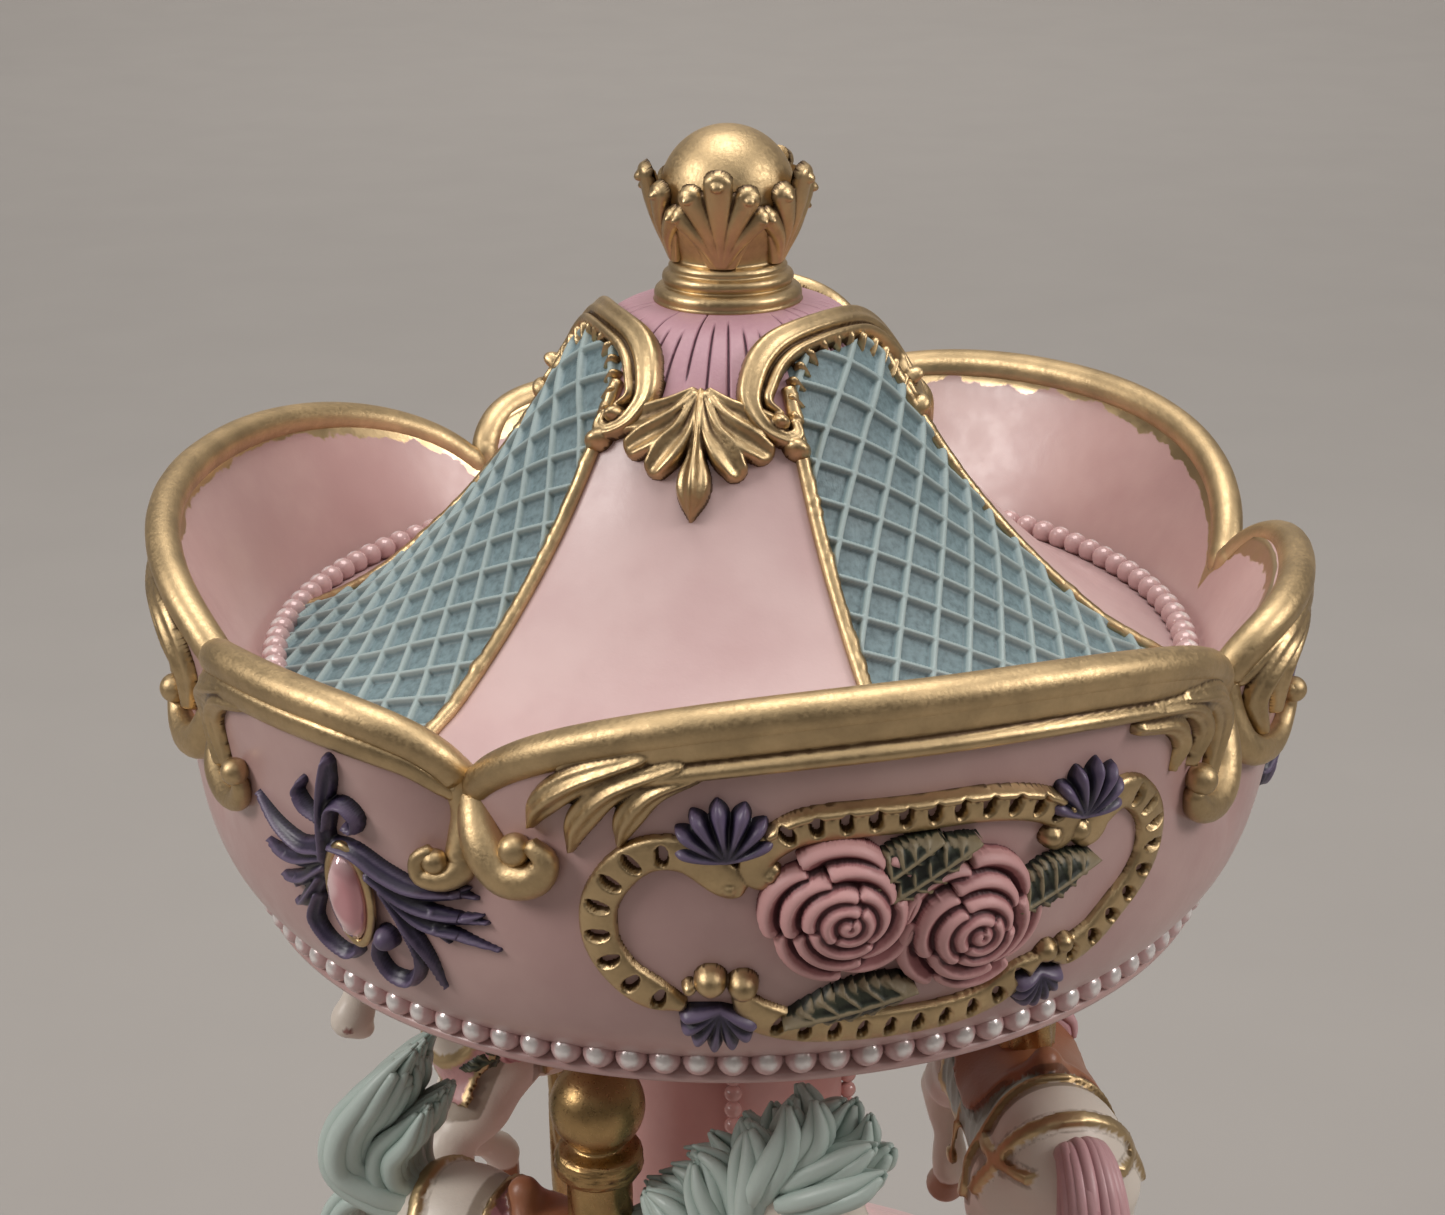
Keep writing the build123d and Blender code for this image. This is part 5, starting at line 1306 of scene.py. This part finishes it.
def tress(rows, colour, light, seed, strands, twist=1.4):
    """A lock of hair through rows of (forward, sideways, up, radius), as strands wound together."""
    random = np.random.default_rng(seed)
    line = smooth_line(rows, 0.8)
    centre, radius = line[:, :3], line[:, 3]
    along = unit(np.gradient(centre, axis=0))
    side = unit(np.cross(along, np.array([0.05, 1, 0.02])))
    up = np.cross(side, along)
    share = np.linspace(0, 1, len(line))
    shapes = []
    for k in range(strands):
        angle = 2 * np.pi * (k / strands) + random.uniform(-0.3, 0.3) + twist * share
        offset = radius[:, None] * 0.5 * (np.cos(angle)[:, None] * side + np.sin(angle)[:, None] * up * 1.25)
        end = 1 - 0.12 * random.uniform(0, 1)
        keep = share <= end
        width = np.maximum(radius * 0.6 * (1 - 0.25 * share), 0.12)
        strand = np.concatenate([centre + offset, width[:, None]], 1)[keep]
        sides = 8
        points, faces, _ = tube(strand, sides)
        nearest = np.concatenate([np.repeat(np.arange(keep.sum()), sides), [0, keep.sum() - 1]])
        out = np.linalg.norm(points - centre[nearest], axis=1) / np.maximum(radius[nearest], 0.3)
        # painted highlight: the light colour on the outer strands, the hair colour between them
        high = smoothstep(0.45, 1.15, out)[:, None]
        paint = np.array(colour) * (1 - high) + np.array(light) * high
        # relief that drives the painted shade: low between the strands, higher at the tips
        low = np.maximum(out * 1.7 - 1.1, 0.5 * smoothstep(0.7, 0.95, share[nearest]))
        shapes.append((points, faces, {"relief": np.clip(low, -1, 1), "paint": paint,
                                       "metal": np.zeros(len(points))}))
    return joined(shapes)


def crest_mane(colour, light, seed):
    """Upright pointed locks that fan out from the crest of the neck."""
    random = np.random.default_rng(seed)
    shapes = []
    bases = smooth_line([(11, -43.5), (17, -37.5), (23, -29.5), (28, -22.8), (32.5, -22.0), (35.5, -25.6)],
                        0.4)
    count = 16
    for k in range(count):
        share = k / (count - 1)
        f, z = bases[int(share * (len(bases) - 1))]
        angle = math.radians(158 - 132 * share + random.uniform(-5, 5))
        reach = 10.8 - 3.2 * abs(share - 0.45) + random.uniform(-1.2, 1.2)
        for side in (-1, 1):
            if side < 0 and k % 3 == 1:
                continue
            bend = random.uniform(-0.1, 0.5)
            s = side * (1.3 + 0.8 * (k % 2))
            middle = (f + 0.5 * reach * math.cos(angle), s * 1.5, z + 0.5 * reach * math.sin(angle), 2.5)
            turn = angle + bend
            tip = (f + reach * math.cos(turn), s * 1.2, z + reach * math.sin(turn), 0.25)
            start = (f - 7.0 * math.cos(angle), s * 1.9, z - 7.0 * math.sin(angle), 1.9)
            root = (f - 2.5 * math.cos(angle), s * 1.9, z - 2.5 * math.sin(angle), 2.7)
            shapes.append(tress([start, root, middle, tip], colour, light, seed * 31 + k * 2 + side, 4, 1.2))
    return joined(shapes)


def falling_mane(colour, light, seed):
    """Locks that fall from the crest down both sides of the neck, and a forelock."""
    random = np.random.default_rng(seed)
    shapes = []
    bases = smooth_line([(10, -42.5), (16, -37), (22, -29.5), (27, -23.4), (30, -21.6)], 0.4)
    count = 11
    for side in (-1, 1):
        for k in range(count):
            f, z = bases[int(k / (count - 1) * (len(bases) - 1))]
            fall = random.uniform(11, 14) * (0.75 + 0.25 * math.sin(math.pi * k / (count - 1)))
            wide = np.interp(k, [0, count - 1], [8.0, 4.8])
            rows = [(f, side * 0.8, z + 0.6, 1.8), (f - 1.8, side * wide * 0.75, z - 1.6, 2.0),
                    (f - 2.4, side * (wide + 0.9), z - 0.55 * fall, 1.8),
                    (f - 4.6, side * (wide + 1.0), z - fall, 0.3)]
            shapes.append(tress(rows, colour, light, seed * 17 + k * 2 + side, 4, 1.2))
    for s in (-1.4, 0, 1.4):
        shapes.append(tress([(30, s * 0.4, -20.8, 1.4), (34, s, -22.6, 1.5), (37, s * 1.3, -28, 0.3)], colour,
                            light, seed + int(s * 10) + 50, 4))
    return joined(shapes)


def raised_tail(colour, light, seed):
    """A tail carried high: locks that rise to points like a flame, and others that fall behind."""
    random = np.random.default_rng(seed)
    shapes = []
    for k in range(11):
        s = (k - 5) * 0.95
        lean = random.uniform(-1.3, 1.3)
        rows = [(-28, s * 0.35, -47.5, 2.4), (-33.6, s * 0.8, -45 + lean * 0.4, 3.0),
                (-38.2 - lean * 0.3, s * 1.1, -40, 3.4), (-37.0 - lean * 0.4, s * 1.15, -33.6, 3.4),
                (-32.6 - lean * 0.5, s, -28.6 + lean, 2.9), (-29.6 - lean * 0.5, s * 0.8, -24.4 + lean, 1.9),
                (-27.6 + lean, s * 0.7, -20.2 + 1.6 * lean, 0.3)]
        shapes.append(tress(rows, colour, light, seed * 13 + k, 5, 2.0))
    for k in range(6):
        s = (k - 2.5) * 1.5
        lean = random.uniform(-1, 1)
        rows = [(-28, s * 0.4, -47, 2.2), (-32.4, s * 0.8, -43.0, 2.9), (-32.0, s, -37.4 + lean, 3.0),
                (-28.2, s, -33.0 + lean, 2.4), (-25.0 + lean, s * 0.9, -27.6 + lean, 0.4)]
        shapes.append(tress(rows, colour, light, seed * 7 + k, 4, 1.8))
    for k in range(8):
        s = (k - 3.5) * 1.3
        wave = random.uniform(-1, 1)
        rows = [(-30, s * 0.4, -48, 1.8), (-37.4, s * 0.8, -46, 2.1), (-41.6, s, -50.6, 2.1),
                (-41.4, s * 1.15, -58 + wave, 1.9), (-38.8 + wave, s * 1.2, -65, 1.5),
                (-41.2, s, -73 + 2 * wave, 0.3)]
        shapes.append(tress(rows, colour, light, seed * 23 + k, 4, 2.2))
    return joined(shapes)


def flowing_tail(colour, light, seed):
    """A full tail that arches from the dock and sweeps down in long wavy locks."""
    random = np.random.default_rng(seed)
    shapes = []
    count = 13
    for k in range(count):
        a = k / count * 2 * math.pi
        s, out = 2.9 * math.sin(a), 1.9 * math.cos(a)
        wave = random.uniform(-0.8, 0.8)
        rows = [(-28.5, s * 0.35, -47.5, 1.7), (-34.2 - out * 0.4, s * 0.7, -43.4 + out * 0.6, 2.0),
                (-39.6 - out, s, -47 + out * 0.4, 2.1), (-42.6 - out, s * 1.25, -56 + wave, 2.0),
                (-41.6 - out * 0.8 + wave, s * 1.2, -66, 1.7),
                (-43.6 - out * 0.4, s * 0.9, -75 + 2 * wave, 1.2),
                (-46.6 + wave, s * 0.6, -81 + 3 * wave, 0.25)]
        shapes.append(tress(rows, colour, light, seed * 19 + k, 4, 2.6))
    return joined(shapes)


def chest_rose(place, seed):
    """A small rose with three leaves, for one side of the chest."""
    rose = rose_relief(3.5, seed)
    leaves = Relief(26, 18, 0.22)
    leaves.leaf((-1.5, 0.5), (-9, 3.6), 2.3, 1.2, 5)
    leaves.leaf((1.5, -0.5), (8.6, -3.4), 2.3, 1.2, 5)
    leaves.leaf((0, -1), (-4.2, -7.4), 2.0, 1.1, 4)
    return rose.shape(lambda x, y, lift: place(x, y, lift * 0.8), 0.5), leaves.shape(place, 0.5)


def in_place(points, azimuth):
    """From a horse's own axes to the object's."""
    a = math.radians(azimuth)
    forward, inward = np.array([math.cos(a), math.sin(a), 0]), np.array([-math.sin(a), math.cos(a), 0])
    pole = radial(azimuth, POLE_CIRCLE_R, RING_Z)
    return pole + points[:, :1] * forward + points[:, 1:2] * inward + points[:, 2:3] * np.array([0, 0, 1.0])


def with_paint(shape, colour, light):
    """A relief with horse paint on it, lighter where it stands out."""
    points, faces, fields = shape
    high = smoothstep(-0.2, 0.9, fields["relief"])[:, None]
    return points, faces, {"relief": fields["relief"], "metal": np.zeros(len(points)),
                           "paint": np.array(colour) * (1 - high) + np.array(light) * high}


def pole_shape():
    """A twisted shaft, a hammered collar, a ball and a rod."""
    rows, columns = 260, 72
    foot, top = span("pole_1")[0][2], RING_Z - 33.5
    z = np.linspace(foot, top, rows)
    azimuth = np.linspace(0, 360, columns, endpoint=False)
    wave = smoothstep(0.0, -1, np.cos(np.radians(6 * azimuth[None] + z[:, None] * 17)))
    wave = wave * (smoothstep(foot, foot + 5, z) * smoothstep(top, top - 4, z))[:, None]
    shaft = radial(azimuth[None], 4.6 - 0.34 * wave, z[:, None]).reshape(-1, 3), \
        [grid_faces(rows, columns, True)], {"relief": (0.45 - 0.5 * wave).ravel()}
    outline = [(4.4, -0.8), (5.2, -0.5), (5.9, 0.2), (6.2, 1.2), (6.15, 2.6), (5.6, 3.5), (4.2, 3.9),
               (3.6, 4.3), (3.6, 5)]
    random = np.random.default_rng(9)
    line = smooth_line(outline, 0.12)
    collar_columns = 96
    dents = random.normal(0, 1, (len(line), collar_columns))
    for axis in (0, 1):
        dents = sum(np.roll(dents, k, axis) for k in range(-2, 3)) / 3
    around = np.linspace(0, 360, collar_columns, endpoint=False)
    rough = 0.12 * dents * smoothstep(4.4, 3.4, line[:, 1:2])
    collar = radial(around[None], line[:, :1] + rough, top + line[:, 1:2]).reshape(-1, 3), \
        [grid_faces(len(line), collar_columns, True)], {"relief": np.clip(rough * 4 + 0.2, -1, 1).ravel()}
    ball = with_relief(balls(np.array([[0, 0, RING_Z - 23.2]]), 6.64, 24), 0.5)
    rod_outline = [(0.1, RING_Z - 19), (1.5, RING_Z - 18), (1.5, RING_Z + 4.9), (0.1, RING_Z + 5)]
    rod = with_relief(lathe(rod_outline, 24), 0.3)
    return joined([shaft, collar, ball, rod])


HORSES = (
    ("one", -23, "1", {"blanket": DUSTY, "strap": BLUSH, "saddle": RUST}, MINT, PALE_MINT_AND_HIGHLIGHT),
    ("two", 97, "2", {"blanket": MINT, "strap": PALE_MINT_AND_HIGHLIGHT, "saddle": RUST}, DUSTY, DUSTY_HIGHLIGHT),
    ("three", 217, "3", {"blanket": LILAC, "strap": BLUSH, "saddle": RUST}, LILAC, LILAC_HIGHLIGHT),
)
HORSE_COLOURS = {"coat": CREAM, "eye": BLACK, "nostril": (0.30, 0.14, 0.12), "hoof": HOOF, "fringe": GOLD,
                 "trim": GOLD, "patch": BLACK, "rein": GOLD}
for word, azimuth, digit, own, hair, hair_highlight in HORSES:
    body = "horse_" + word
    points, faces, fields = horse_clay({**HORSE_COLOURS, **own, "mane": hair}, word == "one")
    write_piece(body + "_body", (in_place(points, azimuth), faces, fields), HORSE_PAINT, body,
                ["horse_" + digit])
    if word == "one":
        hair_shapes = [crest_mane(hair, hair_highlight, 3), raised_tail(hair, hair_highlight, 4)]
    else:
        hair_shapes = [falling_mane(hair, hair_highlight, 5 + azimuth % 7), flowing_tail(hair, hair_highlight, 6)]
    points, faces, fields = joined(hair_shapes)
    write_piece(body + "_hair", (in_place(points, azimuth), faces, fields), HORSE_PAINT, body)
    garland = []
    for side in (-1, 1):
        def place(x, y, lift, side=side, azimuth=azimuth):
            flat = np.stack([17.5 + side * x, side * (9.3 + lift) - side * 0.028 * (x**2 + y**2),
                             -53.5 + y + 0 * x], -1)
            return in_place(flat, azimuth)
        rose, leaves = chest_rose(place, 21 + side)
        garland.append(with_paint(rose, (0.34, 0.10, 0.12), (0.66, 0.34, 0.35)))
        garland.append(with_paint(leaves, (0.02, 0.03, 0.016), (0.16, 0.16, 0.09)))
    write_piece(body + "_garland", joined(garland), HORSE_PAINT, body)
    points, faces, fields = pole_shape()
    points = points + radial(azimuth, POLE_CIRCLE_R, 0)
    write_piece(body + "_pole", (points, faces, fields), POLE_GILT, body, ["pole_" + digit])


# ---- Column, platform and base ----

heights = np.arange(84.5, RING_Z - 8.4, 2.85)
strings = [balls(radial(azimuth, 18.35, heights), 1.38) for azimuth in (0, 90, 180, 270)]
write_piece("column_pearl_strings", joined(strings), COLUMN_PEARL, "carousel", ["column_pearls"])


def platform_top():
    """Boards laid out from the column, with narrow grooves between them and a raised border."""
    boards = 36
    azimuth = np.linspace(0, 360, boards * 14, endpoint=False)
    seam = np.abs((azimuth * boards / 360) % 1 - 0.5) * 2
    radius = np.concatenate([[21.5, 22, 23], np.linspace(24, 69.4, 60),
                             [69.8, 70.2, 70.8, 72.4, 73, 73.4, 73.6]])
    height = np.concatenate([[76.45, 77.3, 77.4], np.full(60, 77.1),
                             [77.1, 77.6, 77.9, 77.9, 77.7, 77.3, 76.4]])
    on_boards = smoothstep(24, 24.6, radius) * smoothstep(69.4, 68.8, radius)
    width = 0.35 / (radius * math.radians(360 / boards) / 2)
    cut = smoothstep(1 - 2.2 * width[:, None], 1 - 0.6 * width[:, None], seam[None]) * on_boards[:, None]
    points = radial(azimuth[None], radius[:, None], height[:, None] - 0.55 * cut)
    relief = (0.3 - 1.2 * cut).ravel()
    return points.reshape(-1, 3), [grid_faces(len(radius), len(azimuth), True)], {"relief": relief}


BOARDS = relief_paint("board_paint", (0.30, 0.13, 0.13), PINK, (0.76, 0.47, 0.46), 0.42, 0.1, low=-0.5,
                      high=0.8).material
write_piece("platform_boards", platform_top(), BOARDS, "carousel")
write_piece("base_pearl_string", pearls(80.3, 57.0, 1.95, 118, 0.3), PEARL, "base", ["base_pearls"])


def rope(radius, height, thick, turns, name):
    """A twisted gold hoop on the base."""
    rows, columns = turns * 10, 14
    along = np.linspace(0, 360, rows, endpoint=False)
    angle = np.linspace(0, 2 * np.pi, columns, endpoint=False)
    wave = np.cos(3 * angle[None] + np.radians(along * turns)[:, None])
    reach = thick * (1 - 0.16 * smoothstep(0.2, -1, wave))
    points = radial(along[:, None], radius + reach * np.cos(angle)[None],
                    height + reach * np.sin(angle)[None])
    quads = grid_faces(rows + 1, columns, True) % (rows * columns)
    relief = (0.5 - 1.1 * smoothstep(0.2, -1, wave)).ravel()
    write_piece(name, (points.reshape(-1, 3), [quads], {"relief": relief}), GILT, "base")


def tongue_border():
    """A border of upright leaves round the plinth, with a bead between each pair."""
    relief = Relief(16, 9, 0.25)
    relief.stroke([(0, -3.0, 2.2, 1.3), (0, 0, 2.7, 1.6), (0, 2.6, 1.0, 1.0)], grooves=2, cut=0.3)
    relief.dome(7.5, 1.0, 1.2, 1.2)
    relief.dome(-7.5, 1.0, 1.2, 1.2)
    one = relief.shape(lambda x, y, lift: radial(np.degrees(x / 87), 86.6 + lift, 5.2 + y), 0.6)
    return joined(turned(one, k * 10) for k in range(36))


def base_wall_shape():
    """The smooth waisted wall of the base, with a window round the stop knob."""
    line = smooth_line([(84.6, 11.0), (84.9, 12.0), (81.4, 16.4), (78.45, 23), (76.95, 33), (77.2, 44),
                        (78.9, 54), (80.35, 59), (80.4, 64.6), (79.9, 65.2)], 0.7)
    columns = 480
    azimuth = np.linspace(0, 360, columns, endpoint=False)
    points = radial(azimuth[None], line[:, :1], line[:, 1:2]).reshape(-1, 3)
    faces = grid_faces(len(line), columns, True)
    low, high = span("stop_knob")
    middle = points[faces].mean(1)
    near = (middle[:, 1:] > low[1:] - 0.8).all(1) & (middle[:, 1:] < high[1:] + 0.8).all(1)
    in_window = (middle[:, 0] > 60) & near
    return points, [faces[~in_window]], {}


write_piece("base_wall", base_wall_shape(), ENAMEL, "base")
write_piece("plinth_border", tongue_border(), GILT, "base")
rope(84.9, 11.8, 2.15, 150, "plinth_rope")
rope(80.4, 66.5, 2.45, 140, "base_rope")
applied_ornaments("base", "base", base_patch(CARTOUCHE_AZIMUTH, BASE_ORNAMENT_Z),
                  base_patch(SMALL_LOBE, BASE_ORNAMENT_Z - 2))


# ---- Materials of the CAD parts that stay as they are ----

BRASS = metal("brass", (0.62, 0.44, 0.17), 0.28, (1, 1, 12)).material
STEEL = metal("steel", (0.50, 0.50, 0.50), 0.30, (10, 1, 1)).material
ZINC = metal("zinc_casting", (0.38, 0.38, 0.37), 0.52, scratches=0.06).material
PLASTIC = moulded("black_plastic", (0.022, 0.022, 0.024), 0.45).material
FELT = moulded("felt", (0.045, 0.05, 0.06), 0.95, 0.25).material
KEPT = {
    RIM_GILT: ("finial_ball", "column_mouldings", "platform_trim", "base_plinth_rim", "base_top_moulding"),
    ENAMEL: ("base_shell", "platform", "ceiling_plate"), COLUMN_ENAMEL: ("column",),
    BRASS: ("spindle_bush", "tune_cylinder", "gear_frame", "guide_bushes", "mainspring"),
    STEEL: ("comb", "movement_screws", "cover_screws", "spindle", "tie_rod", "winding_key", "winding_arbor",
            "cam_track"),
    ZINC: ("movement_bedplate", "spring_barrel", "deck_plate"),
    PLASTIC: ("bottom_cover", "air_brake_fly", "stop_knob"), FELT: ("foot_pads",),
}
for material, nodes in KEPT.items():
    for node in nodes:
        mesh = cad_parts[node].data
        mesh.materials.clear()
        mesh.materials.append(material)


# ---- Studio ----

def aim(item, place, target):
    """Put an item at a place in metres, facing a target."""
    item.location = place
    item.rotation_mode = "QUATERNION"
    item.rotation_quaternion = (Vector(target) - Vector(place)).to_track_quat("-Z", "Y")


def studio():
    """A pale floor that curves up all round, four soft boxes and grey surroundings. Lengths are metres."""
    profile = smooth_line([(0.001, 0), (0.7, 0), (2.2, 0), (3.2, 0.12), (3.9, 0.7), (4.1, 1.6), (4.1, 3.2)],
                          0.12)
    points, faces, _ = lathe(profile / MM, 96)
    mesh = bpy.data.meshes.new("studio_floor")
    mesh.from_pydata([tuple(p * MM) for p in points], [], [tuple(q) for q in faces[0][:, ::-1].tolist()])
    mesh.shade_smooth()
    floor = bpy.data.objects.new("studio_floor", mesh)
    bpy.context.scene.collection.objects.link(floor)
    grey = Paint("floor_paint", (0.40, 0.38, 0.355), 0.7)
    grey.colour(grey.blend(grey.noise(90, 3), (0.300, 0.283, 0.268), (0.328, 0.309, 0.292)))
    mesh.materials.append(grey.material)
    on_object, on_background = (0, 0, 0.2), (0, 4.2, 0.9)
    boxes = (
        ("left_box", (-0.95, -0.30, 0.85), on_object, 6.2, 0.42),
        ("right_box", (0.95, -0.30, 0.85), on_object, 5.4, 0.42),
        ("top_box", (0, 0.15, 1.5), on_object, 9.5, 0.8),
        ("back_box", (0, 1.9, 2.6), on_background, 62, 1.6),
    )
    for name, place, target, power, size in boxes:
        light = bpy.data.lights.new(name, "AREA")
        light.energy, light.size, light.color = power, size, (1.0, 0.965, 0.93)
        lamp = bpy.data.objects.new(name, light)
        bpy.context.scene.collection.objects.link(lamp)
        aim(lamp, place, target)
    world = bpy.data.worlds.new("surroundings")
    world.use_nodes = True
    background = world.node_tree.nodes["Background"]
    background.inputs["Color"].default_value = (0.62, 0.60, 0.58, 1)
    background.inputs["Strength"].default_value = 0.95
    bpy.context.scene.world = world


def camera():
    """Looks slightly down on the canopy from the front."""
    data = bpy.data.cameras.new("view")
    data.lens, data.sensor_width = 55.73, 36
    data.clip_start, data.clip_end = 0.01, 30
    item = bpy.data.objects.new("view", data)
    bpy.context.scene.collection.objects.link(item)
    right = (0.999974833, 0.000894329, -0.00703799)
    up = (0.00624098, 0.36088119, 0.93259092)
    back = (0.00337392, -0.93261137, 0.36086653)
    turn = Matrix((right, up, back)).transposed().to_4x4()
    item.matrix_world = Matrix.Translation((0, -0.30746, (RING_Z + 152.12) * MM)) @ turn
    bpy.context.scene.camera = item


studio()
camera()
bpy.context.scene.view_settings.view_transform = "Standard"
